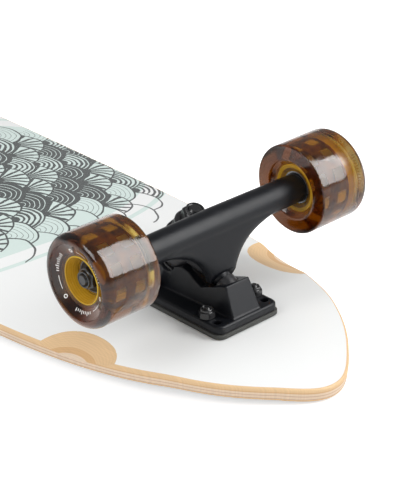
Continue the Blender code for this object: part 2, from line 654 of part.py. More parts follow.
def make_kingpin_stack(name, kingpin_line, finishes):
    end = STACK_HEIGHT
    head_top = -KINGPIN_HEAD_DEPTH - SEAT_GAP
    head_bottom = head_top - KINGPIN_HEAD_HEIGHT
    profile = [(0.0, head_bottom), (KINGPIN_HEAD_RADIUS, head_bottom), (KINGPIN_HEAD_RADIUS, head_top),
               (KINGPIN_RADIUS, head_top), (KINGPIN_RADIUS, end - PIN_CHAMFER),
               (KINGPIN_RADIUS - PIN_CHAMFER, end), (0.0, end)]
    solid(f"{name}_kingpin", turned(profile, SMALL_FACETS), finishes["bolt"], kingpin_line)
    solid(f"{name}_kingpin_nut", lock_nut(KINGPIN_NUT_WIDTH, KINGPIN_NUT_HEIGHT, KINGPIN_RADIUS + SEAT_GAP),
          finishes["bolt"], kingpin_line, (0.0, 0.0, KINGPIN_NUT_S))
    bore = KINGPIN_RADIUS + SEAT_GAP
    solid(f"{name}_bottom_washer",
          tube(BOTTOM_WASHER_RADIUS, bore, 0.0, WASHER_THICKNESS, BUSHING_FACETS), finishes["bolt"],
          kingpin_line, (0.0, 0.0, BOTTOM_WASHER_S))
    rim = TOP_WASHER_RADIUS
    cup = [(bore, 0.0), (rim - WASHER_LIP, 0.0), (rim, -WASHER_LIP), (rim, WASHER_THICKNESS - WASHER_LIP),
           (rim - WASHER_LIP, WASHER_THICKNESS), (bore, WASHER_THICKNESS)]
    solid(f"{name}_top_washer", turned(cup, BUSHING_FACETS), finishes["bolt"], kingpin_line,
          (0.0, 0.0, TOP_WASHER_S))
    for level, radius, height, seat in (
            ("bottom", BOTTOM_BUSHING_RADIUS, BOTTOM_BUSHING_HEIGHT, BOTTOM_BUSHING_S),
            ("top", TOP_BUSHING_RADIUS, TOP_BUSHING_HEIGHT, TOP_BUSHING_S)):
        waist = min(radius, BOTTOM_WASHER_RADIUS) - WASHER_LIP - SEAT_GAP
        if level == "top":
            waist = TOP_WASHER_RADIUS - 2.0 * WASHER_LIP
        barrel = [(bore, 0.0), (waist, 0.0), (radius, height * BUSHING_BULGE_LOW),
                  (radius, height * BUSHING_BULGE_HIGH), (waist, height), (bore, height)]
        solid(f"{name}_{level}_bushing", turned(barrel, BUSHING_FACETS), finishes["bushing"],
              kingpin_line, (0.0, 0.0, seat))


def make_pivot_cup(name, steer_line, finishes):
    outer = PIVOT_RADIUS + PIVOT_CUP_WALL + SEAT_GAP
    inner = PIVOT_RADIUS + SEAT_GAP
    profile = [(0.0, 0.0), (outer, 0.0), (outer, -PIVOT_CUP_DEPTH), (inner, -PIVOT_CUP_DEPTH),
               (inner, -PIVOT_CUP_FLOOR), (0.0, -PIVOT_CUP_FLOOR)]
    solid(f"{name}_pivot_cup", turned(profile, BUSHING_FACETS), finishes["bushing"], steer_line,
          (0.0, 0.0, STEER_LENGTH))


def web_section(height):
    """One level of the hanger's web as (outer x, inner x, half width)."""
    foot = RISER_THICKNESS + WEB_FOOT_HEIGHT
    share = (height - foot) / (AXLE_Z - foot)
    flare = (height - foot) / (AXLE_Z - WEB_FLARE_DROP - foot)
    half_width = WEB_TOP_HALF_WIDTH
    if flare < 1.0:
        half_width = WEB_FOOT_HALF_WIDTH + WEB_FLARE * flare / (WEB_FLARE_LIMIT - flare)
    top = HANGER_MID_RADIUS - WEB_TOP_INSET
    outer = WEB_FOOT_OUTER_X + (top - WEB_FOOT_OUTER_X) * share
    inner = WEB_FOOT_INNER_X - (top + WEB_FOOT_INNER_X) * share ** 3
    return outer, inner, min(half_width, WEB_TOP_HALF_WIDTH)


def hanger_web():
    """The triangular web, lofted through rounded level sections, tangent to the axle tube's outer side."""
    foot = RISER_THICKNESS + WEB_FOOT_HEIGHT
    step = (AXLE_Z - WEB_FLARE_DROP - foot) / (WEB_LEVELS - 1)
    heights = [foot + step * level for level in range(WEB_LEVELS)] + [AXLE_Z]
    power = 2.0 / WEB_ROUNDNESS
    bm = bmesh.new()
    rings = []
    for height in heights:
        outer, inner, half_width = web_section(height)
        ring = []
        for index in range(HANGER_FACETS):
            angle = index * math.tau / HANGER_FACETS
            across = math.copysign(abs(math.cos(angle)) ** power, math.cos(angle))
            along = math.copysign(abs(math.sin(angle)) ** power, math.sin(angle))
            x = (outer + inner) / 2.0 + (outer - inner) / 2.0 * across
            ring.append(bm.verts.new((x, half_width * along, height)))
        rings.append(ring)
    for low, high in zip(rings, rings[1:]):
        for index in range(HANGER_FACETS):
            other = (index + 1) % HANGER_FACETS
            bm.faces.new((low[index], low[other], high[other], high[index]))
    bm.faces.new(list(reversed(rings[0])))
    bm.faces.new(rings[-1])
    return bm


def make_hanger(name, steer_line, truck, kingpin_line, finishes):
    """Axle tube, web, kingpin ring and pivot, joined, with the axle bore and the nut's relief cut out."""
    half = HANGER_HALF_LENGTH
    chamfer = HANGER_END_CHAMFER
    body = turned([(0.0, -half), (HANGER_END_RADIUS - chamfer, -half), (HANGER_END_RADIUS, -half + chamfer),
                   (HANGER_MID_RADIUS, 0.0), (HANGER_END_RADIUS, half - chamfer),
                   (HANGER_END_RADIUS - chamfer, half), (0.0, half)], HANGER_FACETS)
    body.transform(Matrix.Translation((0.0, 0.0, AXLE_Z)) @ Matrix.Rotation(math.pi / 2.0, 4, "X"))
    body.transform(steer_line.matrix_local.inverted())
    hanger = solid(f"{name}_hanger", body, finishes["cast"], steer_line)
    combine(hanger, helper(f"{name}_hanger_web", hanger_web(), truck), "UNION")
    outline = []
    for step in range(RING_STEPS + 1):
        angle = (0.25 + 0.5 * step / RING_STEPS) * math.tau
        outline.append((RING_RADIUS * math.cos(angle), RING_RADIUS * math.sin(angle)))
    outline += [(RING_ARM_LENGTH, -RING_ARM_HALF_WIDTH), (RING_ARM_LENGTH, RING_ARM_HALF_WIDTH)]
    arm = layered(outline, [(0.0, RING_S), (0.0, RING_S + RING_THICKNESS)])
    combine(hanger, helper(f"{name}_ring_arm", arm, kingpin_line), "UNION")
    tip = STEER_LENGTH - PIVOT_CUP_FLOOR - SEAT_GAP
    mouth = STEER_LENGTH - PIVOT_CUP_DEPTH - SWEEP_GAP
    boss_side = rod(BOSS_CLEARING_RADIUS, mouth - PIVOT_CUP_WALL, STEER_LENGTH + RING_RADIUS, BUSHING_FACETS)
    combine(hanger, helper(f"{name}_boss_side", boss_side, steer_line), "DIFFERENCE")
    pivot = turned([(0.0, tip), (PIVOT_RADIUS - PIVOT_TIP_ROUND, tip),
                    (PIVOT_RADIUS, tip - PIVOT_TIP_ROUND), (PIVOT_RADIUS, mouth),
                    (NECK_RADIUS, mouth - PIVOT_CUP_WALL), (NECK_RADIUS, mouth - NECK_LENGTH),
                    (0.0, mouth - NECK_LENGTH)], BUSHING_FACETS)
    combine(hanger, helper(f"{name}_pivot", pivot, steer_line), "UNION")
    bore = rod(AXLE_RADIUS + SEAT_GAP, -half - CUT_MARGIN, half + CUT_MARGIN, SMALL_FACETS)
    bore.transform(Matrix.Translation((0.0, 0.0, AXLE_Z)) @ Matrix.Rotation(math.pi / 2.0, 4, "X"))
    combine(hanger, helper(f"{name}_axle_bore", bore, truck), "DIFFERENCE")
    ring_bore = rod(RING_BORE_RADIUS, RING_S - RING_THICKNESS, TOP_BUSHING_S + SEAT_GAP, BUSHING_FACETS)
    combine(hanger, helper(f"{name}_ring_bore", ring_bore, kingpin_line), "DIFFERENCE")
    washer_reach = max(TOP_WASHER_RADIUS, TOP_BUSHING_RADIUS) + SWEEP_GAP
    nut_reach = KINGPIN_NUT_WIDTH / 2.0 / math.cos(math.pi / 6.0) + SWEEP_GAP
    ring_middle = RING_S + RING_THICKNESS / 2.0
    reliefs = (("washer", washer_reach, TOP_BUSHING_S - SEAT_GAP / 2.0, KINGPIN_NUT_S),
               ("nut", nut_reach, TOP_WASHER_S, STACK_HEIGHT))
    for word, reach, low, high in reliefs:
        swing = (high - ring_middle) * math.sin(STEER_LIMIT)
        shape = layered(stadium(reach, swing), [(0.0, low), (0.0, high + SWEEP_GAP)])
        combine(hanger, helper(f"{name}_{word}_relief", shape, kingpin_line), "DIFFERENCE")


def make_axle(name, steer_line, finishes):
    half = AXLE_HALF_LENGTH
    profile = [(0.0, -half), (AXLE_RADIUS - PIN_CHAMFER, -half), (AXLE_RADIUS, -half + PIN_CHAMFER),
               (AXLE_RADIUS, half - PIN_CHAMFER), (AXLE_RADIUS - PIN_CHAMFER, half), (0.0, half)]
    shape = turned(profile, SMALL_FACETS)
    centre = steer_line.matrix_local.inverted() @ Matrix.Translation((0.0, 0.0, AXLE_Z))
    shape.transform(centre @ Matrix.Rotation(math.pi / 2.0, 4, "X"))
    solid(f"{name}_axle", shape, finishes["steel"], steer_line)


def wheel_profile():
    """The urethane tyre about its axis, from the truck's side (0) outwards."""
    radius = WHEEL_RADIUS
    edge = WHEEL_INNER_EDGE
    width = WHEEL_WIDTH
    bore = CORE_RADIUS + SEAT_GAP
    inner_seat = INNER_BEARING_Y - WHEEL_INNER_OFFSET - CORE_LIP_THICKNESS
    outer_seat = OUTER_BEARING_Y + BEARING_WIDTH - WHEEL_INNER_OFFSET + CORE_LIP_THICKNESS
    lip = []
    for step in range(WHEEL_LIP_STEPS + 1):
        angle = step / WHEEL_LIP_STEPS * math.pi / 2.0
        lip.append((WHEEL_FACE_RADIUS + (radius - WHEEL_FACE_RADIUS) * math.cos(angle),
                    width - WHEEL_LIP + WHEEL_LIP * math.sin(angle)))
    inner_side = [(bore, inner_seat), (WHEEL_BACK_DISH_RADIUS, 0.0), (radius - edge, 0.0), (radius, edge)]
    return inner_side + lip + [(WHEEL_DISH_RADIUS, width - WHEEL_DISH_DEPTH), (bore, outer_seat)]


def core_profile():
    """The hub: two bearing seats either side of a thin web, and a funnel up to the tyre's outer dish."""
    seat = BEARING_SEAT_RADIUS
    low = INNER_BEARING_Y - WHEEL_INNER_OFFSET
    high = OUTER_BEARING_Y + BEARING_WIDTH - WHEEL_INNER_OFFSET
    inner_stop = low + BEARING_WIDTH + SEAT_GAP
    outer_stop = high - BEARING_WIDTH - SEAT_GAP
    rim = WHEEL_DISH_RADIUS - SEAT_GAP
    face = WHEEL_WIDTH - WHEEL_DISH_DEPTH
    return [(seat, low), (CORE_RADIUS, low - CORE_LIP_THICKNESS), (CORE_RADIUS, high + CORE_LIP_THICKNESS),
            (rim, face), (rim - CORE_RIM_WIDTH, face), (seat, high), (seat, outer_stop),
            (CORE_WEB_RADIUS, outer_stop), (CORE_WEB_RADIUS, inner_stop), (seat, inner_stop)]


def make_wheel(name, spin, finishes):
    """Tyre, hub and both bearings; the spin empty's Z runs outwards along the axle."""
    solid(f"{name}_wheel", turned(wheel_profile(), WHEEL_FACETS), finishes["urethane"], spin,
          (0.0, 0.0, WHEEL_INNER_OFFSET))
    solid(f"{name}_wheel_core", turned(core_profile(), CORE_FACETS), finishes["core"], spin,
          (0.0, 0.0, WHEEL_INNER_OFFSET))
    for place, offset in (("inner", INNER_BEARING_Y), ("outer", OUTER_BEARING_Y)):
        bearing = tube(BEARING_OUTER_RADIUS, AXLE_RADIUS + SEAT_GAP, 0.0, BEARING_WIDTH, BEARING_FACETS)
        solid(f"{name}_{place}_bearing", bearing, finishes["steel"], spin, (0.0, 0.0, offset))


def make_truck(name, truck, finishes):
    kingpin_line = empty(f"{name}_kingpin_line", truck, SEAT_CENTRE, (0.0, KINGPIN_TILT, 0.0))
    steer_line = empty(f"{name}_steer", truck, RING_CENTRE, (0.0, STEER_ROTATION, 0.0))
    bpy.context.view_layer.update()
    make_riser(name, truck, finishes)
    make_baseplate(name, truck, kingpin_line, steer_line, finishes)
    make_bolts(name, truck, finishes)
    make_kingpin_stack(name, kingpin_line, finishes)
    make_pivot_cup(name, steer_line, finishes)
    make_hanger(name, steer_line, truck, kingpin_line, finishes)
    make_axle(name, steer_line, finishes)
    axle_in_steer = steer_line.matrix_local.inverted() @ Vector((0.0, 0.0, AXLE_Z))
    for hand, side in hands(name):
        spin = empty(f"{name}_{hand}_spin", steer_line, axle_in_steer)
        outward = Matrix.Rotation(-side * math.pi / 2.0, 4, "X")
        spin.rotation_euler = (steer_line.matrix_local.to_3x3().inverted().to_4x4() @ outward).to_euler()
        make_wheel(f"{name}_{hand}", spin, finishes)
        nut = lock_nut(AXLE_NUT_WIDTH, AXLE_NUT_HEIGHT, AXLE_RADIUS + SEAT_GAP)
        solid(f"{name}_{hand}_axle_nut", nut, finishes["bolt"], spin, (0.0, 0.0, AXLE_NUT_Y))


def lay_on_floor(board, solids):
    """Tip and lift the board so that its nose and tail tips both rest at z = 0, centred on x = 0."""
    points = []
    for piece in solids:
        points += [vert.co.copy() for vert in piece.data.vertices]
    tilt = 0.0
    for _ in range(6):
        turn = Matrix.Rotation(tilt, 3, "Y")
        nose = min((p for p in points if p.x > 0.0), key=lambda p: (turn @ p).z)
        tail = min((p for p in points if p.x < 0.0), key=lambda p: (turn @ p).z)
        tilt = math.atan2(nose.z - tail.z, nose.x - tail.x)
    turn = Matrix.Rotation(tilt, 3, "Y")
    laid = [turn @ p for p in points]
    middle = (min(p.x for p in laid) + max(p.x for p in laid)) / 2.0
    board.rotation_euler = (0.0, tilt, 0.0)
    board.location = (-middle, 0.0, -min(p.z for p in laid))


def make_board():
    finishes = {
        "wood": material("maple", (0.80, 0.62, 0.42), 0.5),
        "grip": material("grip_black", (0.03, 0.03, 0.03), 0.95),
        "riser": material("riser_rubber", (0.05, 0.05, 0.045), 0.8),
        "cast": material("black_cast", (0.03, 0.03, 0.034), 0.45, 0.3),
        "bolt": material("black_steel", (0.02, 0.02, 0.02), 0.35, 0.7),
        "steel": material("bright_steel", (0.6, 0.6, 0.6), 0.3, 1.0),
        "bushing": material("black_urethane", (0.02, 0.02, 0.022), 0.5),
        "urethane": material("smoked_urethane", (0.16, 0.08, 0.04), 0.25),
        "core": material("amber_core", (0.55, 0.30, 0.03), 0.35),
    }
    board = empty("board")
    front = empty("front_truck", board, (AXLE_X, 0.0, 0.0))
    rear = empty("rear_truck", board, (-AXLE_X, 0.0, 0.0), (0.0, 0.0, math.pi))
    bpy.context.view_layer.update()
    deck, grip = make_deck(board, (front, rear), finishes)
    make_truck("front", front, finishes)
    make_truck("rear", rear, finishes)
    lay_on_floor(board, (deck, grip))
    bpy.context.view_layer.update()


clear_scene()
make_board()
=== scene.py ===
"""Looks of the cruiser skateboard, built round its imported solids.

Metres, +Z up, +X towards the nose, the rider's left towards -Y. The board lies
upside down on its nose and tail tips. A truck's own frame starts on the painted
face under its axle, with X towards its end of the board and Z away from the deck.
"""
import json
import math

import bmesh
import bpy
from mathutils import Matrix, Vector


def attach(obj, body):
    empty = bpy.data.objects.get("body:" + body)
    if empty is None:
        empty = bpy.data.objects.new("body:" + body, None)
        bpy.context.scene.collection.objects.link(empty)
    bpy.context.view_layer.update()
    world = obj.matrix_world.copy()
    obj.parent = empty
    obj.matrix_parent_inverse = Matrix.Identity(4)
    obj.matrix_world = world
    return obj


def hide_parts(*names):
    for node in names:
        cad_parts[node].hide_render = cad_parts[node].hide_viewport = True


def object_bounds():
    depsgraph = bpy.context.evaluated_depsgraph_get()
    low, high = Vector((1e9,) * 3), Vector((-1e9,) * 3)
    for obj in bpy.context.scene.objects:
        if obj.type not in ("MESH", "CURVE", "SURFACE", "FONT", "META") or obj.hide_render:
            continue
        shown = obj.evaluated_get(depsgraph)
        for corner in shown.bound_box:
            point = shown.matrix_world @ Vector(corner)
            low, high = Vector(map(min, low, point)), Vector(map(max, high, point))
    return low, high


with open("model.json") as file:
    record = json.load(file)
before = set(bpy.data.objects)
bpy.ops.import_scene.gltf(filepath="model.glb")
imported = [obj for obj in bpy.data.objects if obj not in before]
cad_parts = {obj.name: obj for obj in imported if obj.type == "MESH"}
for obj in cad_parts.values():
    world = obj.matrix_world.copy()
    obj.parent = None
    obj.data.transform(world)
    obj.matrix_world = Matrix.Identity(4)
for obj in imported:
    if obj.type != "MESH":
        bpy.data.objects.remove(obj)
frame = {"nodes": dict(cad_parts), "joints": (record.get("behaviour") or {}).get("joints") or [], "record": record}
CAD_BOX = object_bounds()
JOINTS = {joint["name"]: joint for joint in frame["joints"]}
MOUNTS = {mount["name"]: mount for mount in frame["record"]["mounts"]}
NODES = frame["nodes"]

# Deck
DECK_WIDTH = 0.2134
DECK_THICKNESS = 0.0095
DECK_EDGE_ROUND = 0.0018
WHEELBASE = 0.3683
NOSE_LENGTH = 0.0925
TAIL_LENGTH = 0.1651
FLAT_HALF_WIDTH = 0.028
CONCAVE_DEPTH = 0.0096
CONCAVE_POWER = 1.3
NOSE_KICK_ANGLE = math.radians(7.7)
NOSE_KICK_START = 0.011
NOSE_KICK_BEND = 0.016
TAIL_KICK_ANGLE = math.radians(19.0)
TAIL_KICK_START = 0.030
TAIL_KICK_BEND = 0.060
PAINTED_DEPTH = 0.00004
GRIP_THICKNESS = 0.0009
GRIP_EDGE_INSET = 0.0012
SEAT_GAP = 0.0003

# Deck outline: at each end a round tip, the corner where it meets the long side, and the side's taper
NOSE_OUTLINE = {"tip_round": 0.011, "setback": 0.0245, "half_width": 0.0378,
                "angle": math.radians(45.0), "tip_handle": 0.026, "side_handle": 0.0585,
                "taper": 0.304, "taper_handle": 0.171}
TAIL_OUTLINE = {"tip_round": 0.040, "setback": 0.046, "half_width": 0.0665,
                "angle": math.radians(35.0), "tip_handle": 0.028, "side_handle": 0.060,
                "taper": 0.330, "taper_handle": 0.150}

# Wheel wells and bolts
WELL_RADIUS = 0.0303
WELL_DEPTH = 0.0042
WELL_LEAN = 0.9
WELL_SETBACK = 0.0275
WELL_HALF_SPACING = 0.0965
WELL_OVERREACH = 1.25
WELL_STEPS = 24
WELL_CAP_TOP = 0.02
BOLT_SPACING_X = 0.05398
BOLT_SPACING_Y = 0.04128
INNER_BOLT_TO_AXLE = 0.038
BOLT_RADIUS = 0.0024
BOLT_HEAD_RADIUS = 0.0046
BOLT_HEAD_HEIGHT = 0.0026
BOLT_THREAD = 0.009
CUT_BELOW = 0.004
CUT_ABOVE = 0.003

# Small edges, nuts, washers and the riser
FINE_GAP = 0.0001
CHAMFER = 0.0002
RECESS_DEPTH = 0.0012
NUT_COLLAR = 0.42
NUT_HEXAGON = 0.68
NUT_CHAMFER = math.radians(28.0)
KINGPIN_RADIUS = 0.00476
KINGPIN_HEAD = 0.0055
KINGPIN_THREAD = 0.018
WASHER_THICKNESS = 0.0018
WASHER_LIP = 0.0012
FLAT_WASHER_DIP = 0.0002
BUSHING_TAPER = 0.0016
BUSHING_ROUND = 0.0014
BUSHING_BELLY = (0.25, 0.6)
RISER_CORNER = 0.006
RISER_HOLE_RADIUS = 0.0027

# Hanger
AXLE_HOLE_RADIUS = 0.0043
RISER_THICKNESS = 0.0032
HANGER_HALF_LENGTH = 0.0745
HANGER_END_RADIUS = 0.0096
HANGER_MID_RADIUS = 0.0104
WEB_FOOT_HEIGHT = 0.0216
WEB_FOOT_HALF_WIDTH = 0.0094
WEB_FLARE = 0.0126
WEB_FLARE_LIMIT = 1.25
WEB_FLARE_DROP = 0.0050
WEB_TOP_HALF_WIDTH = 0.0600
WEB_FOOT_OUTER_X = 0.0125
WEB_FOOT_INNER_X = 0.0010
WEB_TOP_INSET = 0.0006
WEB_LEVELS = 40
WEB_ROUNDNESS = 3.2
RING_RADIUS = 0.0150
RING_BORE_RADIUS = 0.0082
RING_ARM_LENGTH = 0.0270
RING_ARM_HALF_WIDTH = 0.0090
STEER_LIMIT = math.radians(15.0)
PIVOT_RADIUS = 0.0050
NECK_RADIUS = 0.0066
NECK_LENGTH = 0.0200
NECK_FOOT = 0.0060
NECK_ROUND = 0.0012
SIDE_RELIEF_RADIUS = 0.045
PIVOT_CUP_WALL = 0.0020
PIVOT_CUP_FLOOR = 0.0022
AXLE_THREAD = 0.011
SWEEP_GAP = 0.0009

# Wheels
WHEEL_LIP = 0.0058
WHEEL_FACE_RADIUS = 0.0247
WHEEL_DISH_RADIUS = 0.0160
WHEEL_DISH_DEPTH = 0.0047
WHEEL_BACK_DISH_RADIUS = 0.0200
WHEEL_GROOVE_RADIUS = 0.0240
WHEEL_GROOVE_DEPTH = 0.0009
CORE_OVERLAP = 0.0003
CORE_LIP = 0.0016
CORE_RIM_WIDTH = 0.0010
CORE_WEB_RADIUS = 0.0085
FUNNEL_STEPS = 6
POCKETS = 8
POCKET_DEPTH = 0.0034
POCKET_WIDTH = 0.0076
POCKET_INSET = 0.0023
POCKET_EDGES = (0.24, 0.76)
PRINT_INNER = 0.0184
PRINT_OUTER = 0.0212
AXLE_BORE = 0.0042
PRINT_THICKNESS = 0.00006
PRINT_GROUPS = 3
PRINT_BARS = 9
BAR_SPACING = 0.085
BAR_WIDTH = 0.026
RACE_WIDTH = 0.0010
RACE_DIP = 0.0006
SPEED_RING_RADIUS = 0.0060

# The photograph's camera, in the front truck's frame
PHOTO_HEIGHT = 496
FOCAL_PIXELS = 2004.64
CAMERA_PLACE = (0.83004, -0.75951, 0.62829)
CAMERA_YAW = math.radians(137.688)
CAMERA_PITCH = math.radians(27.436)
CAMERA_ROLL = math.radians(-1.202)

# Fineness, smoothing and angles
FACETS = 96
SMALL_FACETS = 48
ROUND_FACETS = 64
VOXEL = 0.0006
SIDE_SLICE = 0.0035
MIDDLE_SLICE = 0.03
SAME_PLACE = 1e-7
SHARP_ANGLE = math.radians(38.0)
DECK_SHARP_ANGLE = math.radians(12.0)
HANGER_SMOOTHING = 12
BASE_SMOOTHING = 2
QUARTER = math.pi / 2.0

# Places on the deck, from its middle
AXLE_X = WHEELBASE / 2.0 + INNER_BOLT_TO_AXLE
OUTER_BOLT_X = BOLT_SPACING_X - INNER_BOLT_TO_AXLE
NOSE_X = AXLE_X + OUTER_BOLT_X + NOSE_LENGTH
TAIL_X = -AXLE_X - OUTER_BOLT_X - TAIL_LENGTH
NOSE_KICK_X = AXLE_X + OUTER_BOLT_X + NOSE_KICK_START
TAIL_KICK_X = -AXLE_X - OUTER_BOLT_X - TAIL_KICK_START


# Frames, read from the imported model

def axes_frame(origin, along, across, up):
    turn = Matrix((along, across, up)).transposed().to_4x4()
    return Matrix.Translation(origin) @ turn


def axis_frame(origin, axis):
    """A frame whose Z runs along an axis in the XZ plane or along Y."""
    axis = Vector(axis).normalized()
    across = Vector((0.0, 1.0, 0.0))
    if abs(axis.y) > 0.5:
        across = Vector((0.0, 0.0, 1.0))
    along = across.cross(axis).normalized()
    return axes_frame(origin, along, axis.cross(along), axis)


UP = Vector(MOUNTS["painted_face"]["axis"]).normalized()
ACROSS = Vector((0.0, 1.0, 0.0))
ALONG = ACROSS.cross(UP)
PAINTED_POINT = Vector(MOUNTS["painted_face"]["pos_m"])


def truck_frame(truck):
    axle = Vector(JOINTS[f"{truck}_left_spin"]["pos_m"])
    origin = axle - (axle - PAINTED_POINT).dot(UP) * UP
    side = 1.0 if truck == "front" else -1.0
    return axes_frame(origin, side * ALONG, side * ACROSS, UP)


def span(node, place):
    """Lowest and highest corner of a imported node, measured in a frame."""
    back = place.inverted()
    points = [back @ vert.co for vert in NODES[node].data.vertices]
    low = Vector([min(p[axis] for p in points) for axis in range(3)])
    high = Vector([max(p[axis] for p in points) for axis in range(3)])
    return low, high


def centre(node):
    points = [vert.co for vert in NODES[node].data.vertices]
    return sum(points, Vector()) / len(points)


def kingpin_frame(truck):
    """Origin in the bottom washer, Z towards the free end of the kingpin."""
    low = centre(f"{truck}_bottom_washer")
    return axis_frame(low, centre(f"{truck}_kingpin_nut") - low)


def wheel_frame(truck, hand):
    """Origin on the axle at the board's middle, Z outwards through the wheel."""
    outward = -1.0 if hand == "left" else 1.0
    return axis_frame(JOINTS[f"{truck}_{hand}_spin"]["pos_m"], (0.0, outward, 0.0))


def steer_frame(truck):
    joint = JOINTS[f"{truck}_steer"]
    return axis_frame(joint["pos_m"], joint["axis"])


def raised(place, height):
    """A frame moved along its own Z."""
    return place @ Matrix.Translation((0.0, 0.0, height))


def turned_on(node, line):
    """For a node turned about a line: the frame at its lower end, its radius and its length."""
    low, high = span(node, line)
    return raised(line, low.z), high.x, high.z - low.z


def stand(node, place):
    """The frame at the middle of a node's foot, and the node's size in it."""
    low, high = span(node, place)
    middle = (low + high) / 2.0
    return place @ Matrix.Translation((middle.x, middle.y, low.z)), high - low


FRONT = truck_frame("front")
REAR = truck_frame("rear")
BOARD = axes_frame((FRONT.translation + REAR.translation) / 2.0, ALONG, ACROSS, UP)
AXLE_Z = (FRONT.inverted() @ Vector(JOINTS["front_left_spin"]["pos_m"])).z
AXLE_LINE = raised(Matrix.Identity(4), AXLE_Z) @ Matrix.Rotation(QUARTER, 4, "X")


# Mesh helpers

def polar(radius, angle):
    return radius * math.cos(angle), radius * math.sin(angle)


def arc(radius, start, end, steps, x=0.0, y=0.0):
    """Points along an arc about (x, y)."""
    points = []
    for step in range(steps + 1):
        across, along = polar(radius, start + (end - start) * step / steps)
        points.append((x + across, y + along))
    return points


def bridge(bm, low, high):
    """Join two rings of vertices with faces; a ring may be one vertex."""
    count = max(len(low), len(high))
    for index in range(count):
        other = (index + 1) % count
        corners = (low[index % len(low)], low[other % len(low)],
                   high[other % len(high)], high[index % len(high)])
        corners = list(dict.fromkeys(corners))
        if len(corners) > 2:
            bm.faces.new(corners)


def lathe(profile, facets=ROUND_FACETS):
    """Spin a closed outline of (radius, height) points, or functions of the angle, about Z."""
    bm = bmesh.new()
    rings = []
    for entry in profile:
        on_axis = not callable(entry) and entry[0] < SAME_PLACE
        ring = []
        for index in range(1 if on_axis else facets):
            angle = index * math.tau / facets
            radius, height = entry(angle) if callable(entry) else entry
            ring.append(bm.verts.new((*polar(radius, angle), height)))
        rings.append(ring)
    for low, high in zip(rings, rings[1:] + rings[:1]):
        bridge(bm, low, high)
    return bm


def rod(radius, low, high, facets=ROUND_FACETS):
    return lathe([(0.0, low), (radius, low), (radius, high), (0.0, high)], facets)


def eased(profile, radius, steps=3):
    """Round the corners of a closed outline of (radius, height) pairs; points on the axis stay."""
    points = []
    for index, corner in enumerate(profile):
        here = Vector(corner)
        if here.x < SAME_PLACE:
            points.append(corner)
            continue
        before = Vector(profile[index - 1])
        after = Vector(profile[(index + 1) % len(profile)])
        start, end = (here + (other - here).normalized() * min(radius, 0.45 * (other - here).length)
                      for other in (before, after))
        for step in range(steps + 1):
            share = step / steps
            points.append(tuple(start.lerp(here, share).lerp(here.lerp(end, share), share)))
    return points


def ring_profile(outer, inner, low, high):
    return [(inner, low), (outer, low), (outer, high), (inner, high)]


def threaded(radius, low, high, pitch=0.0008, depth=0.00035):
    """Outline points of a screw thread's crests and roots, from low to high."""
    points = []
    turns = max(1, round((high - low) / pitch))
    for turn in range(turns):
        level = low + (high - low) * turn / turns
        points += [(radius, level), (radius - depth, level + (high - low) / turns / 2.0)]
    return points


def inset_outline(outline, inset):
    moved = []
    for index, point in enumerate(outline):
        before = outline[index - 1]
        after = outline[(index + 1) % len(outline)]
        along = Vector((after[0] - before[0], after[1] - before[1])).normalized()
        moved.append((point[0] - along.y * inset, point[1] + along.x * inset))
    return moved


def stacked(rings):
    """A closed solid from rings of points, each joined to the next."""
    bm = bmesh.new()
    loops = [[bm.verts.new(point) for point in ring] for ring in rings]
    for low, high in zip(loops, loops[1:]):
        bridge(bm, low, high)
    bm.faces.new(loops[0][::-1])
    bm.faces.new(loops[-1])
    return bm


def layered(outline, layers):
    """Stack copies of an anticlockwise outline, each (inset, height), into a closed solid."""
    return stacked([[(x, y, height) for x, y in inset_outline(outline, inset)]
                    for inset, height in layers])


def soft_edges(low, high, radius, steps=3):
    """Layers of a plate whose top and bottom edges are rounded."""
    layers = []
    for step in range(steps + 1):
        angle = step / steps * QUARTER
        layers.append((radius * (1.0 - math.sin(angle)), low + radius * (1.0 - math.cos(angle))))
    return layers + [(inset, low + high - level) for inset, level in reversed(layers)]


def rounded_rectangle(low_x, high_x, half_width, radius):
    outline = []
    rise = half_width - radius
    low, high = low_x + radius, high_x - radius
    for turn, middle in enumerate(((high, rise), (low, rise), (low, -rise), (high, -rise))):
        outline += arc(radius, turn * QUARTER, (turn + 1) * QUARTER, 10, *middle)
    return outline


def stadium(radius, half_run):
    return (arc(radius, 0.0, math.pi, 24, 0.0, half_run)
            + arc(radius, math.pi, math.tau, 24, 0.0, -half_run))


def moved(bm, place):
    bm.transform(place)
    return bm


def merge(bm, other, place=Matrix.Identity(4)):
    """Copy one mesh into another and drop the copied one."""
    mesh = bpy.data.meshes.new("merged")
    moved(other, place).to_mesh(mesh)
    other.free()
    bm.from_mesh(mesh)
    bpy.data.meshes.remove(mesh)


def linked(name, data):
    """A new object in the scene."""
    made = bpy.data.objects.new(name, data)
    bpy.context.scene.collection.objects.link(made)
    return made


def as_object(name, bm, *finishes):
    bmesh.ops.remove_doubles(bm, verts=bm.verts, dist=SAME_PLACE)
    bmesh.ops.recalc_face_normals(bm, faces=bm.faces)
    mesh = bpy.data.meshes.new(name)
    bm.to_mesh(mesh)
    bm.free()
    for finish in finishes:
        mesh.materials.append(FINISHES[finish][0])
    return linked(name, mesh)


def settle(made):
    """Apply an object's modifiers and shade it smooth between its sharp edges."""
    bpy.context.view_layer.update()
    graph = bpy.context.evaluated_depsgraph_get()
    shaped = bpy.data.meshes.new_from_object(made.evaluated_get(graph))
    made.modifiers.clear()
    made.data = shaped
    shaped.name = made.name
    shaped.shade_smooth()
    shaped.set_sharp_from_angle(angle=SHARP_ANGLE)
    return made


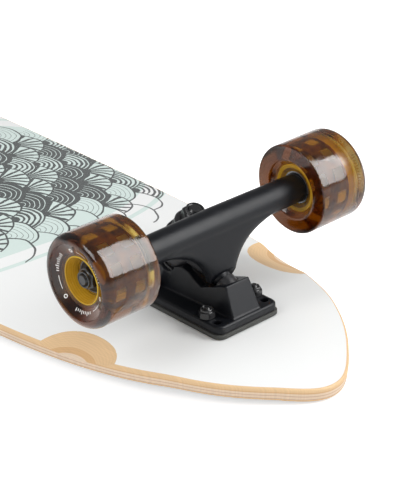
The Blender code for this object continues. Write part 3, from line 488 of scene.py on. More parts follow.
def cut(target, shapes):
    """Cut each mesh, in the target's own coordinates, out of the target."""
    cutters = []
    for number, shape in enumerate(shapes):
        cutter = as_object(f"cutter_{number}", shape)
        step = target.modifiers.new(cutter.name, "BOOLEAN")
        step.operation = "DIFFERENCE"
        step.solver = "EXACT"
        step.object = cutter
        cutters.append(cutter)
    settle(target)
    for cutter in cutters:
        bpy.data.objects.remove(cutter, do_unlink=True)


def cast(made, smoothing):
    """Melt overlapping solids into one casting with soft edges."""
    remesh = made.modifiers.new("skin", "REMESH")
    remesh.mode = "VOXEL"
    remesh.voxel_size = VOXEL
    smooth = made.modifiers.new("soften", "SMOOTH")
    smooth.factor = 0.5
    smooth.iterations = smoothing
    return settle(made)


def dress(made, body, place, node=None):
    """Put a finished piece in its place, on its body, and let it stand for its node."""
    made.matrix_world = place
    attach(made, body)
    if node:
        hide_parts(node)


def piece(name, bm, finish, body, place, node=None):
    dress(settle(as_object(name, bm, finish)), body, place, node)


# Materials: numbers worked out by nodes, written as arithmetic

class Field:
    """The output of a node: a number, a vector or a colour that varies over a surface."""

    def __init__(self, socket):
        self.socket = socket
        self.tree = socket.id_data

    def step(self, operation, *others):
        return node_out(self.tree, "ShaderNodeMath", 0, self, *others, operation=operation)

    def __add__(self, other):
        return self.step("ADD", other)

    def __sub__(self, other):
        return self.step("SUBTRACT", other)

    def __rsub__(self, other):
        return self * -1.0 + other

    def __mul__(self, other):
        return self.step("MULTIPLY", other)

    def __truediv__(self, other):
        return self.step("DIVIDE", other)

    def __lt__(self, other):
        return self.step("LESS_THAN", other)

    def __gt__(self, other):
        return self.step("GREATER_THAN", other)

    def between(self, low, high):
        return (self > low) * (self < high)

    def choose(self, chosen, otherwise):
        """The chosen value where this field is 1, the other where it is 0."""
        return (chosen - otherwise) * self + otherwise

    def split(self):
        """The three numbers of a vector."""
        node = self.tree.nodes.new("ShaderNodeSeparateXYZ")
        plug(self, node.inputs[0])
        return [Field(output) for output in node.outputs]

    def scaled(self, *scale):
        return node_out(self.tree, "ShaderNodeMapping", Vector=self, Scale=scale)

    def noise(self, scale, detail=3.0, roughness=0.5):
        return node_out(self.tree, "ShaderNodeTexNoise", Vector=self, Scale=scale, Detail=detail,
                        Roughness=roughness)

    def mixed(self, first, second):
        """Blend two colours; this field is the second one's share."""
        node = self.tree.nodes.new("ShaderNodeMix")
        node.data_type = "RGBA"
        for item, index in ((self, 0), (first, 6), (second, 7)):
            plug(item, node.inputs[index])
        return Field(node.outputs[2])

    def ramp(self, stops):
        """Bands of colour, each stop being (where it starts, colour)."""
        node = self.tree.nodes.new("ShaderNodeValToRGB")
        node.color_ramp.interpolation = "CONSTANT"
        elements = node.color_ramp.elements
        while len(elements) < len(stops):
            elements.new(1.0)
        for element, (position, colour) in zip(elements, stops):
            element.position = position
            element.color = (*colour, 1.0)
        plug(self, node.inputs[0])
        return Field(node.outputs[0])

    def remapped(self, from_low, from_high, to_low=0.0, to_high=1.0):
        return node_out(self.tree, "ShaderNodeMapRange", 0, self, from_low, from_high, to_low, to_high)

    def bump(self, distance, strength=1.0):
        return node_out(self.tree, "ShaderNodeBump", Height=self, Distance=distance, Strength=strength)


def plug(item, socket):
    """Link a field to a socket, or set the socket to a number, a vector or a colour."""
    if isinstance(item, Field):
        item.tree.links.new(item.socket, socket)
    elif socket.type == "RGBA":
        socket.default_value = (*item, 1.0)
    else:
        socket.default_value = item


def plug_all(node, **inputs):
    for name, item in inputs.items():
        plug(item, node.inputs[name.replace("_", " ")])


def node_out(tree, kind, output=0, *items, **named):
    """Add a node and give one of its outputs.

    The items go to its first inputs, small names to its settings and others to its inputs.
    """
    node = tree.nodes.new(kind)
    for name in filter(str.islower, named):
        setattr(node, name, named[name])
    for item, socket in zip(items, node.inputs):
        plug(item, socket)
    plug_all(node, **{name: item for name, item in named.items() if not name.islower()})
    return Field(node.outputs[output])


def attribute(tree, name, output):
    return node_out(tree, "ShaderNodeAttribute", output, attribute_name=name)


def coordinate(tree, kind):
    return node_out(tree, "ShaderNodeTexCoord", kind)


def length(x, y):
    return (x * x + y * y).step("SQRT")


def new_finish(name, **inputs):
    """A Principled material with some of its inputs set; returns it with its tree and shader."""
    made = bpy.data.materials.new(name)
    made.use_nodes = True
    shader = made.node_tree.nodes["Principled BSDF"]
    plug_all(shader, **inputs)
    return made, made.node_tree, shader


def ray_kinds(tree):
    """1 or 0 for rays from the camera, off gloss and through glass."""
    path = tree.nodes.new("ShaderNodeLightPath")
    return [Field(path.outputs[f"Is {name} Ray"]) for name in ("Camera", "Glossy", "Transmission")]


WHITE_PAINT = (0.86, 0.87, 0.865)
TEAL_PAINT = (0.66, 0.77, 0.735)
INK = (0.055, 0.056, 0.058)
TEAL_RADIUS = 0.1105
TEAL_FLATTENING = 0.8
STRIPE_GAP = 0.012
STRIPE_WIDTH = 0.004

# Wave print: fans in rows that run a little off the board's length, thinning out past their reach
WAVE_SIZE = 0.022
WAVE_COSINE = 0.94
WAVE_SINE = 0.34
WAVE_REACH = 0.090
WAVE_FADE = 0.022
WAVE_RAGGED = 0.03
WAVE_FLATTENING = 0.7
WAVE_RINGS = 6.0
WAVE_RAYS = 17.0
RINGED_SHARE = 0.28
RAYED_SHARE = 0.62


def wave_turn(along, across):
    return along * WAVE_COSINE + across * WAVE_SINE, across * WAVE_COSINE - along * WAVE_SINE


def wave_fans(along, across):
    """Overlapping fans: distance in the front fan, the angle there and the fan's own row and column."""
    row = (along / (WAVE_SIZE / 2.0)).step("FLOOR")
    found = ()
    for shift in (1.0, 0.0, -1.0):
        this_row = row + shift
        offset = this_row.step("MODULO", 2.0).step("ABSOLUTE") * WAVE_SIZE
        column = ((across - offset) / (2.0 * WAVE_SIZE)).step("ROUND") * (2.0 * WAVE_SIZE) + offset
        level = this_row * (WAVE_SIZE / 2.0)
        rise = along - level
        run = across - column
        distance = length(rise, run) / WAVE_SIZE
        here = (distance, rise.step("ARCTAN2", run), level, column)
        inside = distance < 1.0
        found = tuple(inside.choose(new, old) for new, old in zip(here, found)) or here
    return found


def make_paint():
    """White paint, a pale teal disc and a dark grey wave print, under a satin coat."""
    made, tree, shader = new_finish("board_paint", Roughness=0.32, Coat_Weight=0.25,
                                    Coat_Roughness=0.18)
    place = attribute(tree, "flat_place", "Vector")
    x, y = place.split()[:2]
    x = x - (NOSE_X + TAIL_X) / 2.0
    radius = length(x, y * TEAL_FLATTENING)
    stripe = TEAL_RADIUS + STRIPE_GAP
    teal = (radius < TEAL_RADIUS) + radius.between(stripe, stripe + STRIPE_WIDTH)
    wobble = (place.noise(28.0, 2.0) - 0.5) * 0.009
    lean = (place.noise(21.0, 2.0) - 0.5) * 0.007
    along, across = wave_turn(y, x)
    distance, angle, row, column = wave_fans(along + wobble, across + lean)
    fans = node_out(tree, "ShaderNodeCombineXYZ", X=column * 31.7, Y=row * 47.3)
    luck = node_out(tree, "ShaderNodeTexWhiteNoise", Vector=fans)
    fan_x, fan_y = wave_turn(column, row)
    reach = length(fan_x, fan_y * WAVE_FLATTENING) + (luck - 0.5) * WAVE_RAGGED
    full = reach < WAVE_REACH
    sparse = reach < WAVE_REACH + WAVE_FADE
    pressure = place.noise(60.0, 4.0, 0.6)
    rings = (distance * WAVE_RINGS + 0.18).step("FRACT")
    ringed = rings < pressure.remapped(0.3, 0.7, 0.25, 0.75)
    rays = (angle * WAVE_RAYS + pressure * 5.0).step("SINE") > distance.remapped(0.1, 1.0, -0.9, 0.75)
    solid = rings > 0.16
    rim = distance > 0.94
    kinds = (luck < RINGED_SHARE) * ringed + luck.between(RINGED_SHARE, RAYED_SHARE) * rays
    kinds = kinds + (luck > RAYED_SHARE) * solid
    heart = (distance < 0.2) * (luck < 0.6)
    thin = (rings < 0.1) * (luck > 0.5)
    ink = full * (kinds + rim + heart).step("MINIMUM", 1.0) + (sparse - full) * (thin + rim)
    grain = place.noise(900.0, 2.0).remapped(0.2, 0.8, 0.86, 1.0)
    colour = (ink * grain).step("MINIMUM", 1.0).mixed(teal.mixed(WHITE_PAINT, TEAL_PAINT), INK)
    plug_all(shader, Base_Color=colour, Normal=place.noise(700.0, 2.0).bump(0.00002, 0.35))
    return made


CREAM = (0.80, 0.63, 0.47)
TAN = (0.77, 0.53, 0.295)
HONEY = (0.69, 0.43, 0.21)
ROSE = (0.62, 0.41, 0.28)
PLIES = ((0.0, TAN), (0.24, HONEY), (0.33, CREAM), (0.50, ROSE), (0.56, CREAM), (0.74, ROSE),
         (0.80, TAN))
GROWTH_RINGS = 19000.0


def make_plies():
    """Maple veneers by depth below the painted face, with growth lines where they are sanded open."""
    made, tree, shader = new_finish("maple_plies", Roughness=0.52)
    depth = attribute(tree, "ply_depth", "Fac")
    place = attribute(tree, "flat_place", "Vector")
    sway = (place.scaled(18.0, 60.0, 1.0).noise(1.0) - 0.5) * 0.00035
    fibres = place.scaled(40.0, 1500.0, 1.0).noise(1.0, 4.0, 0.6)
    rings = ((depth + sway * 1.6) * GROWTH_RINGS + place.noise(60.0, 2.0) * 9.0).step("SINE")
    layers = ((depth + sway) / DECK_THICKNESS).ramp(PLIES)
    shade = (fibres * 0.75 + rings * 0.07).remapped(0.15, 0.65, 0.86, 1.06)
    colour = node_out(tree, "ShaderNodeVectorMath", 0, layers, Scale=shade, operation="SCALE")
    plug_all(shader, Base_Color=colour, Normal=(fibres + rings * 0.1).bump(0.00006, 0.5))
    return made


GRAIN_SCALE = 1500.0
GRIT = (0.016, 0.016, 0.017)
GLINT = (0.12, 0.12, 0.125)


def make_grip():
    """Black grit: dark grains with a few that glint."""
    made, tree, shader = new_finish("grip_grit", Roughness=0.85)
    place = coordinate(tree, "Object")
    grains, cells = (node_out(tree, "ShaderNodeTexVoronoi", output, Vector=place, Scale=GRAIN_SCALE)
                     for output in ("Distance", "Color"))
    glint = node_out(tree, "ShaderNodeSeparateColor", Color=cells) > 0.93
    plug_all(shader, Base_Color=glint.mixed(GRIT, GLINT), Normal=grains.bump(0.00025))
    return made


def make_coated(name, colour, roughness, grain_scale, grain_height, coat=0.0, specular=0.5):
    """A painted, oxidised or moulded surface: one colour, faint mottling and a fine skin."""
    made, tree, shader = new_finish(name, Coat_Weight=coat, Coat_Roughness=0.2,
                                    Specular_IOR_Level=specular)
    place = coordinate(tree, "Object")
    mottle = place.noise(120.0)
    lighter = tuple(channel * 1.35 for channel in colour)
    plug_all(shader, Base_Color=mottle.mixed(colour, lighter),
             Roughness=mottle.remapped(0.3, 0.7, roughness - 0.04, roughness + 0.05),
             Normal=place.noise(grain_scale, 3.0, 0.6).bump(grain_height))
    return made


def make_steel(name, colour, roughness):
    """Ground steel: fine turning marks round the axis and slight staining."""
    made, tree, shader = new_finish(name, Metallic=1.0)
    place = coordinate(tree, "Object")
    marks = place.scaled(120.0, 120.0, 5200.0).noise(1.0, 2.0)
    darker = tuple(channel * 0.72 for channel in colour)
    plug_all(shader, Base_Color=place.noise(260.0).mixed(darker, colour),
             Roughness=marks.remapped(0.3, 0.7, roughness - 0.06, roughness + 0.08),
             Normal=marks.bump(0.000015, 0.4))
    return made


URETHANE_CLEAR = (1.0, 0.97, 0.92)
# The next colour is painted shade for the tyre's sides.
URETHANE_FACE_SHADE = (0.22, 0.11, 0.08)
URETHANE_TINT = (0.83, 0.70, 0.12)
URETHANE_DENSITY = 172.0
URETHANE_BOND_RADIUS = 0.0175
URETHANE_BOND_BLUR = 0.3


def make_urethane():
    """Clear smoky amber urethane, darker with depth; its sides, which face along the axle, carry painted shade."""
    made, tree, shader = new_finish("amber_urethane", IOR=1.45, Specular_IOR_Level=0.05,
                                    Transmission_Weight=1.0, Coat_Weight=0.35, Coat_Roughness=0.03)
    place = coordinate(tree, "Object")
    sideways = coordinate(tree, "Normal").split()[2].step("ABSOLUTE")
    inside = node_out(tree, "ShaderNodeNewGeometry", "Backfacing")
    # Painted shade: the tyre's sides, where they face along the axle, are drawn darker than its tread; faces seen
    # from inside are left clear.
    face_shade = sideways.remapped(0.1, 0.75) * (1.0 - inside)
    bonded = (length(*place.split()[:2]) < URETHANE_BOND_RADIUS) * URETHANE_BOND_BLUR
    plug_all(shader, Roughness=place.noise(45.0).remapped(0.3, 0.7, 0.06, 0.16) + bonded,
             Base_Color=face_shade.mixed(URETHANE_CLEAR, URETHANE_FACE_SHADE))
    depth = node_out(tree, "ShaderNodeVolumeAbsorption", Color=URETHANE_TINT, Density=URETHANE_DENSITY)
    plug(depth, tree.nodes["Material Output"].inputs["Volume"])
    return made


# Core: Z along the wheel's axis from the board's middle, as in wheel_frame
# The first two colours are painted shade for the hub's skin where it lies under the tyre.
CORE_DEEP_SHADE = (0.10, 0.045, 0.010)
CORE_SHADED_SKIN = (0.32, 0.15, 0.02)
CORE_CONE = (0.90, 0.70, 0.03)
CORE_MOUTH = (0.54, 0.29, 0.012)
CORE_SWIRL = (0.68, 0.38, 0.022)
CORE_MOUTH_RADIUS = 0.0115
CORE_RIM_RADIUS = 0.0153
CORE_SKIN_START = 0.0738
CORE_SKIN_END = 0.0992
CORE_CONE_START = 0.1003


def make_core():
    """The hub's clear plastic: amber at its mouth, with painted shade on its skin where that lies under the tyre.
    """
    made, tree, shader = new_finish("amber_core", Roughness=0.4, Transmission_Weight=0.25, IOR=1.5,
                                    Specular_IOR_Level=0.25)
    place = coordinate(tree, "Object")
    x, y, along = place.split()
    radius = length(x, y)
    mouth = place.noise(150.0).mixed(CORE_MOUTH, CORE_SWIRL)
    # Painted shade: the skin under the tyre is drawn in two dark colours, mottled by noise.
    skin = place.noise(210.0, 3.0, 0.6).remapped(0.35, 0.65).mixed(CORE_DEEP_SHADE, CORE_SHADED_SKIN)
    outer_end = (radius < CORE_RIM_RADIUS) * (along > CORE_SKIN_END)
    cone = (radius > CORE_RIM_RADIUS) * (along > CORE_CONE_START)
    # The skin under the tyre, apart from its ends and its cone, takes the painted shade.
    shaded_skin = (radius > CORE_MOUTH_RADIUS) * (outer_end + cone + (along < CORE_SKIN_START) < 0.5)
    plug_all(shader, Base_Color=cone.mixed(shaded_skin.mixed(mouth, skin), CORE_CONE),
             Normal=place.noise(900.0).bump(0.00002, 0.4))
    return made


# Every finish with the slot it goes to
FINISHES = {
    "paint": (make_paint(), "maple"),
    "plies": (make_plies(), "maple"),
    "grip": (make_grip(), "grip_paper"),
    "cast": (make_coated("black_cast", (0.0048, 0.0055, 0.0074), 0.39, 1400.0, 0.00003, 0.0, 0.27),
             "black_casting"),
    "riser": (make_coated("riser_rubber", (0.045, 0.046, 0.042), 0.72, 900.0, 0.00004),
              "riser_rubber"),
    "black_steel": (make_coated("black_steel", (0.011, 0.011, 0.012), 0.3, 1200.0, 0.00002, 0.5, 0.4),
                    "black_steel"),
    "bright_steel": (make_steel("bright_steel", (0.34, 0.34, 0.35), 0.28), "bright_steel"),
    "rubber": (make_coated("black_rubber", (0.018, 0.018, 0.02), 0.38, 700.0, 0.00002),
               "black_urethane"),
    "shield": (make_coated("shield_rubber", (0.012, 0.012, 0.013), 0.5, 800.0, 0.00002),
               "black_urethane"),
    "urethane": (make_urethane(), "amber_urethane"),
    "core": (make_core(), "amber_core"),
    "print": (make_coated("white_ink", (0.80, 0.80, 0.78), 0.5, 600.0, 0.00001), "amber_urethane"),
}


# Deck and grip tape

def bend(distance, run, angle):
    """Drop and slope of a face that bends over a run and is straight after it."""
    slope = math.tan(angle)
    if distance <= 0.0:
        return 0.0, 0.0
    if distance < run:
        return slope * distance * distance / (2.0 * run), slope * distance / run
    return slope * (distance - run / 2.0), slope


def painted_surface(x, y):
    """Point and normal of the painted face, which is curved across and kicked at its ends."""
    reach = DECK_WIDTH / 2.0 - FLAT_HALF_WIDTH
    across = max(abs(y) - FLAT_HALF_WIDTH, 0.0) / reach
    nose_drop, nose_slope = bend(x - NOSE_KICK_X, NOSE_KICK_BEND, NOSE_KICK_ANGLE)
    tail_drop, tail_slope = bend(TAIL_KICK_X - x, TAIL_KICK_BEND, TAIL_KICK_ANGLE)
    height = -CONCAVE_DEPTH * across ** CONCAVE_POWER - nose_drop - tail_drop
    slope_y = 0.0
    if across > 0.0:
        steep = CONCAVE_DEPTH * CONCAVE_POWER * across ** (CONCAVE_POWER - 1.0) / reach
        slope_y = -math.copysign(steep, y)
    normal = Vector((nose_slope - tail_slope, -slope_y, 1.0)).normalized()
    return Vector((x, y, height)), normal


def unbent(point):
    """Flat place and depth of a point of the bent deck."""
    x, y = point.x, point.y
    depth = 0.0
    for _ in range(5):
        surface, normal = painted_surface(x, y)
        depth = (surface - point).dot(normal)
        slip = point - surface + depth * normal
        x += slip.x
        y += slip.y
    return x, y, depth


def ahead(point, direction, distance):
    return point[0] + distance * direction[0], point[1] + distance * direction[1]


def bezier(start, start_handle, end_handle, end, steps):
    points = []
    for step in range(steps):
        t = step / steps
        weights = ((1 - t) ** 3, 3 * t * (1 - t) ** 2, 3 * t * t * (1 - t), t ** 3)
        knots = (start, start_handle, end_handle, end)
        points.append(tuple(sum(w * k[axis] for w, k in zip(weights, knots)) for axis in (0, 1)))
    return points


def half_outline(tip, inward, steps, tip_round, setback, half_width, angle, tip_handle,
                 side_handle, taper, taper_handle):
    """From an end's tip to just short of its widest place, on the +Y side; inward is a sign of X."""
    half = DECK_WIDTH / 2.0
    corner = (tip + inward * setback, half_width)
    along = (-inward * math.cos(angle), -math.sin(angle))
    wide = (tip + inward * taper, half)
    points = bezier((tip, 0.0), (tip, tip_round), ahead(corner, along, tip_handle), corner, steps)
    return points + bezier(corner, ahead(corner, along, -side_handle),
                           (wide[0] - inward * taper_handle, half), wide, 2 * steps)


def deck_outline(steps=36):
    """Anticlockwise from the nose tip round the +Y side to the tail and back."""
    side = half_outline(NOSE_X, -1.0, steps, **NOSE_OUTLINE)
    side.append((TAIL_X + TAIL_OUTLINE["taper"], DECK_WIDTH / 2.0))
    side += reversed(half_outline(TAIL_X, 1.0, steps, **TAIL_OUTLINE))
    return side + [(x, -y) for x, y in reversed(side[1:-1])]


def bent_sheet(outline, layers):
    """A flat sheet of the outline, sliced finely where it curves and bent like the deck."""
    bm = layered(outline, layers)
    sides = [FLAT_HALF_WIDTH + SIDE_SLICE * step for step in range(23)]
    ends = [NOSE_KICK_X + NOSE_KICK_BEND * step / 6.0 for step in range(7)]
    ends += [TAIL_KICK_X - TAIL_KICK_BEND * step / 14.0 for step in range(15)]
    ends += [MIDDLE_SLICE * step for step in range(-5, 8)]
    for normal, places in (((0.0, 1.0, 0.0), sides + [-y for y in sides] + [0.0]),
                           ((1.0, 0.0, 0.0), ends)):
        for place in places:
            bmesh.ops.bisect_plane(bm, geom=bm.verts[:] + bm.edges[:] + bm.faces[:], dist=SAME_PLACE,
                                   plane_co=place * Vector(normal), plane_no=normal)
    bmesh.ops.triangulate(bm, faces=[face for face in bm.faces if len(face.verts) > 4])
    for vert in bm.verts:
        surface, normal = painted_surface(vert.co.x, vert.co.y)
        vert.co = surface + vert.co.z * normal
    return bm


def well_cutter(truck_x, inward, side):
    """A sanding drum's round cap, sunk into the painted face near the deck's edge."""
    radius = (WELL_RADIUS ** 2 + WELL_DEPTH ** 2) / (2.0 * WELL_DEPTH)
    reach = WELL_RADIUS * WELL_OVERREACH
    profile = [(0.0, -WELL_DEPTH)]
    for step in range(1, WELL_STEPS + 1):
        across = reach * step / WELL_STEPS
        profile.append((across, radius - WELL_DEPTH - math.sqrt(radius ** 2 - across ** 2)))
    profile += [(reach, WELL_CAP_TOP), (0.0, WELL_CAP_TOP)]
    surface, normal = painted_surface(truck_x + inward * WELL_SETBACK, side * WELL_HALF_SPACING)
    lean = math.atan2(normal.y, normal.z)
    shape = lathe(profile, 128)
    for vert in shape.verts:
        if vert.co.z < 0.0:
            vert.co.z *= 1.0 + WELL_LEAN * side * vert.co.y / WELL_RADIUS
    shape.transform(Matrix.Translation(surface) @ Matrix.Rotation(-lean, 4, "X"))
    return shape


def bolt_places():
    """Every bolt on the deck as (x, y), from the deck's middle."""
    places = []
    for side in (1.0, -1.0):
        for x in (AXLE_X - INNER_BOLT_TO_AXLE, AXLE_X + OUTER_BOLT_X):
            places += [(side * x, hand * BOLT_SPACING_Y / 2.0) for hand in (-1.0, 1.0)]
    return places


def hole_cutters():
    """Countersunk holes up through the grip tape and the deck."""
    face = -DECK_THICKNESS
    head = BOLT_HEAD_RADIUS + SEAT_GAP
    shank = BOLT_RADIUS + SEAT_GAP
    profile = [(0.0, face - CUT_BELOW), (head, face - CUT_BELOW), (head, face),
               (shank, face + BOLT_HEAD_HEIGHT), (shank, CUT_ABOVE), (0.0, CUT_ABOVE)]
    bm = bmesh.new()
    for x, y in bolt_places():
        merge(bm, lathe(profile, 32), Matrix.Translation((x, y, 0.0)))
    return bm


def paint_faces(deck):
    """Give the untouched painted face its paint, and every vertex its flat place and depth."""
    mesh = deck.data
    mesh.attributes.new("flat_place", "FLOAT_VECTOR", "POINT")
    mesh.attributes.new("ply_depth", "FLOAT", "POINT")
    flat = mesh.attributes["flat_place"].data
    depths = mesh.attributes["ply_depth"].data
    measured = []
    for index, vert in enumerate(mesh.vertices):
        x, y, depth = unbent(vert.co)
        measured.append(depth)
        flat[index].vector = (x, y, depth)
        depths[index].value = max(depth, 0.0)
    for face in mesh.polygons:
        deepest = max(measured[index] for index in face.vertices)
        face.material_index = 0 if deepest < PAINTED_DEPTH and face.normal.z > 0.5 else 1


def lay(sheet, node):
    """Put a bent sheet on the board in world places, so that its box isn't that of a tilted piece."""
    sheet.data.transform(BOARD)
    dress(sheet, "root", Matrix.Identity(4), node)


def make_deck():
    outline = deck_outline()
    layers = soft_edges(-DECK_THICKNESS, 0.0, DECK_EDGE_ROUND, 4)
    deck = as_object("deck_board", bent_sheet(outline, layers), "paint", "plies")
    ends = (-1.0, 1.0)
    cutters = [well_cutter(-inward * AXLE_X, inward, side) for inward in ends for side in ends]
    cut(deck, cutters + [hole_cutters()])
    paint_faces(deck)
    deck.data.set_sharp_from_angle(angle=DECK_SHARP_ANGLE)
    lay(deck, "deck")
    inset = DECK_EDGE_ROUND + GRIP_EDGE_INSET
    top = -DECK_THICKNESS - SEAT_GAP
    layers = [(inset, top - GRIP_THICKNESS), (inset, top)]
    grip = as_object("grip_sheet", bent_sheet(outline, layers), "grip")
    cut(grip, [hole_cutters()])
    lay(grip, "grip_tape")


# Nuts, bolts and turned pieces

def hexagon(flat, angle):
    """Distance from the middle of a hexagon to its side, at an angle."""
    turn = (angle + math.pi / 6.0) % (math.pi / 3.0) - math.pi / 6.0
    return flat / math.cos(turn)


def lock_nut(width, height, bore):
    """A chamfered hexagon, a round collar on top and a bore."""
    flat = width / 2.0
    edge = flat * 0.985
    shoulder = height * NUT_HEXAGON
    collar = width * NUT_COLLAR
    ease = width * 0.03

    def corner(level, sign):
        def at(angle):
            reach = hexagon(flat, angle)
            return reach, level + sign * (reach - edge) * math.tan(NUT_CHAMFER)
        return at

    profile = [(bore, ease), (bore + ease, 0.0), (edge, 0.0), corner(0.0, 1.0), corner(shoulder, -1.0),
               (edge, shoulder), (collar + ease, shoulder), (collar, shoulder + ease),
               (collar, height - ease * 2.0), (collar - ease, height - ease * 0.5),
               (collar - ease * 2.0, height), (bore + ease * 3.0, height),
               (bore + ease * 2.0, height - ease), (bore, height - ease * 2.0)]
    return lathe(profile, 72)


def recess(arm, width, height):
    """Edge of a plus-shaped recess at a height, as an outline point for the lathe."""
    def at(angle):
        across, along = (abs(side) + 1e-9 for side in polar(1.0, angle))
        return max(min(arm / across, width / along), min(arm / along, width / across)), height
    return at


def make_bolts(truck, place):
    """Countersunk bolts up through the deck and lock nuts on the flange."""
    radius = BOLT_RADIUS
    for level in ("inner", "outer"):
        for hand in ("left", "right"):
            node = f"{truck}_bolt_{level}_{hand}"
            spot, size = stand(node, place)
            tall = size.z
            thread = tall - BOLT_THREAD
            profile = [(0.0, RECESS_DEPTH), recess(0.0013, 0.0004, RECESS_DEPTH),
                       recess(0.0024, 0.0006, 0.0), (BOLT_HEAD_RADIUS - CHAMFER, 0.0),
                       (BOLT_HEAD_RADIUS, CHAMFER), (radius, BOLT_HEAD_HEIGHT),
                       (radius, thread - CHAMFER)]
            profile += threaded(radius, thread, tall - 0.0006)
            profile += [(radius * 0.72, tall - FINE_GAP), (0.0, tall)]
            piece(f"{truck}_deck_bolt_{level}_{hand}", lathe(profile, SMALL_FACETS), "black_steel",
                  "root", spot, node)
            node = f"{truck}_bolt_nut_{level}_{hand}"
            spot, size = stand(node, place)
            piece(f"{truck}_deck_nut_{level}_{hand}", lock_nut(size.y, size.z, radius + FINE_GAP),
                  "black_steel", "root", spot, node)


def make_riser(truck, place):
    node = f"{truck}_riser_pad"
    low, high = span(node, place)
    outline = rounded_rectangle(low.x, high.x, high.y, RISER_CORNER)
    pad = as_object(f"{truck}_riser", layered(outline, soft_edges(low.z, high.z, 0.0004)), "riser")
    holes = bmesh.new()
    for x in (-INNER_BOLT_TO_AXLE, OUTER_BOLT_X):
        for side in (-1.0, 1.0):
            spot = Matrix.Translation((x, side * BOLT_SPACING_Y / 2.0, 0.0))
            merge(holes, rod(RISER_HOLE_RADIUS, -0.002, 0.006, 32), spot)
    cut(pad, [holes])
    dress(pad, "root", place, node)


def make_baseplate(truck, place):
    """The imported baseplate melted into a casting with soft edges."""
    node = f"{truck}_baseplate"
    bm = bmesh.new()
    bm.from_mesh(NODES[node].data)
    for face in bm.faces:
        face.material_index = 0
    base = as_object(f"{truck}_base_casting", moved(bm, place.inverted()), "cast")
    cast(base, BASE_SMOOTHING)
    dress(base, "root", place, node)


def make_kingpin(truck):
    """Kingpin, lock nut, washers and bushings, each turned on the kingpin's line."""
    line = kingpin_frame(truck)
    radius = KINGPIN_RADIUS
    spot, head, tall = turned_on(f"{truck}_kingpin", line)
    thread = tall - KINGPIN_THREAD
    profile = [(0.0, 0.0), (head, 0.0), (head, KINGPIN_HEAD), (radius, KINGPIN_HEAD),
               (radius, thread - 0.001)]
    profile += threaded(radius, thread, tall - 0.001, pitch=0.0010, depth=0.0004)
    profile += [(radius * 0.75, tall - 0.0003), (0.0, tall)]
    piece(f"{truck}_kingpin_bolt", lathe(profile, SMALL_FACETS), "black_steel", "root", spot,
          f"{truck}_kingpin")
    node = f"{truck}_kingpin_nut"
    low, high = span(node, line)
    nut = lock_nut(high.y - low.y, high.z - low.z, radius + FINE_GAP)
    piece(f"{truck}_kingpin_locknut", nut, "black_steel", "root", raised(line, low.z), node)
    bore = radius + CHAMFER
    for level in ("bottom", "top"):
        node = f"{truck}_{level}_washer"
        spot, outer, tall = turned_on(node, line)
        thick = WASHER_THICKNESS
        dip = tall - thick
        lip = outer - WASHER_LIP
        profile = [(bore, dip), (lip, dip), (outer, 0.0), (outer, thick), (lip, dip + thick),
                   (bore, dip + thick)]
        if dip < FLAT_WASHER_DIP:
            profile = ring_profile(outer, bore, 0.0, thick)
        piece(f"{truck}_{level}_cup_washer", lathe(eased(profile, 0.0003)), "black_steel", "root",
              spot, node)
        node = f"{truck}_{level}_bushing"
        spot, outer, tall = turned_on(node, line)
        waist = outer - BUSHING_TAPER
        belly = [(outer, tall * share) for share in BUSHING_BELLY]
        profile = [(bore, 0.0), (waist, 0.0), *belly, (waist, tall), (bore, tall)]
        piece(f"{truck}_{level}_bushing_rubber", lathe(eased(profile, BUSHING_ROUND, 5)), "rubber",
              "root", spot, node)


def make_pivot_cup(truck, steer):
    node = f"{truck}_pivot_cup"
    low, high = span(node, steer)
    inner = PIVOT_RADIUS + SEAT_GAP
    floor = high.z - PIVOT_CUP_FLOOR
    profile = [(0.0, high.z), (high.x, high.z), (high.x, low.z), (inner, low.z), (inner, floor),
               (0.0, floor)]
    piece(f"{truck}_pivot_bush", lathe(eased(profile, 0.0004)), "rubber", "root", steer, node)


# Hanger and axle

def web_section(height):
    """One level of the hanger's web as (outer x, inner x, half width)."""
    foot = RISER_THICKNESS + WEB_FOOT_HEIGHT
    share = (height - foot) / (AXLE_Z - foot)
    flare = (height - foot) / (AXLE_Z - WEB_FLARE_DROP - foot)
    half_width = WEB_TOP_HALF_WIDTH
    if flare < 1.0:
        half_width = WEB_FOOT_HALF_WIDTH + WEB_FLARE * flare / (WEB_FLARE_LIMIT - flare)
    top = HANGER_MID_RADIUS - WEB_TOP_INSET
    outer = WEB_FOOT_OUTER_X + (top - WEB_FOOT_OUTER_X) * share
    inner = WEB_FOOT_INNER_X - (top + WEB_FOOT_INNER_X) * share ** 3
    return outer, inner, min(half_width, WEB_TOP_HALF_WIDTH)


def hanger_web():
    """The triangular web, lofted through rounded level sections."""
    foot = RISER_THICKNESS + WEB_FOOT_HEIGHT
    step = (AXLE_Z - WEB_FLARE_DROP - foot) / (WEB_LEVELS - 1)
    rings = []
    for height in [foot + step * level for level in range(WEB_LEVELS)] + [AXLE_Z]:
        outer, inner, half_width = web_section(height)
        ring = []
        for index in range(FACETS):
            across, along = (math.copysign(abs(side) ** (2.0 / WEB_ROUNDNESS), side)
                             for side in polar(1.0, index * math.tau / FACETS))
            x = (outer + inner) / 2.0 + (outer - inner) / 2.0 * across
            ring.append((x, half_width * along, height))
        rings.append(ring)
    return stacked(rings)


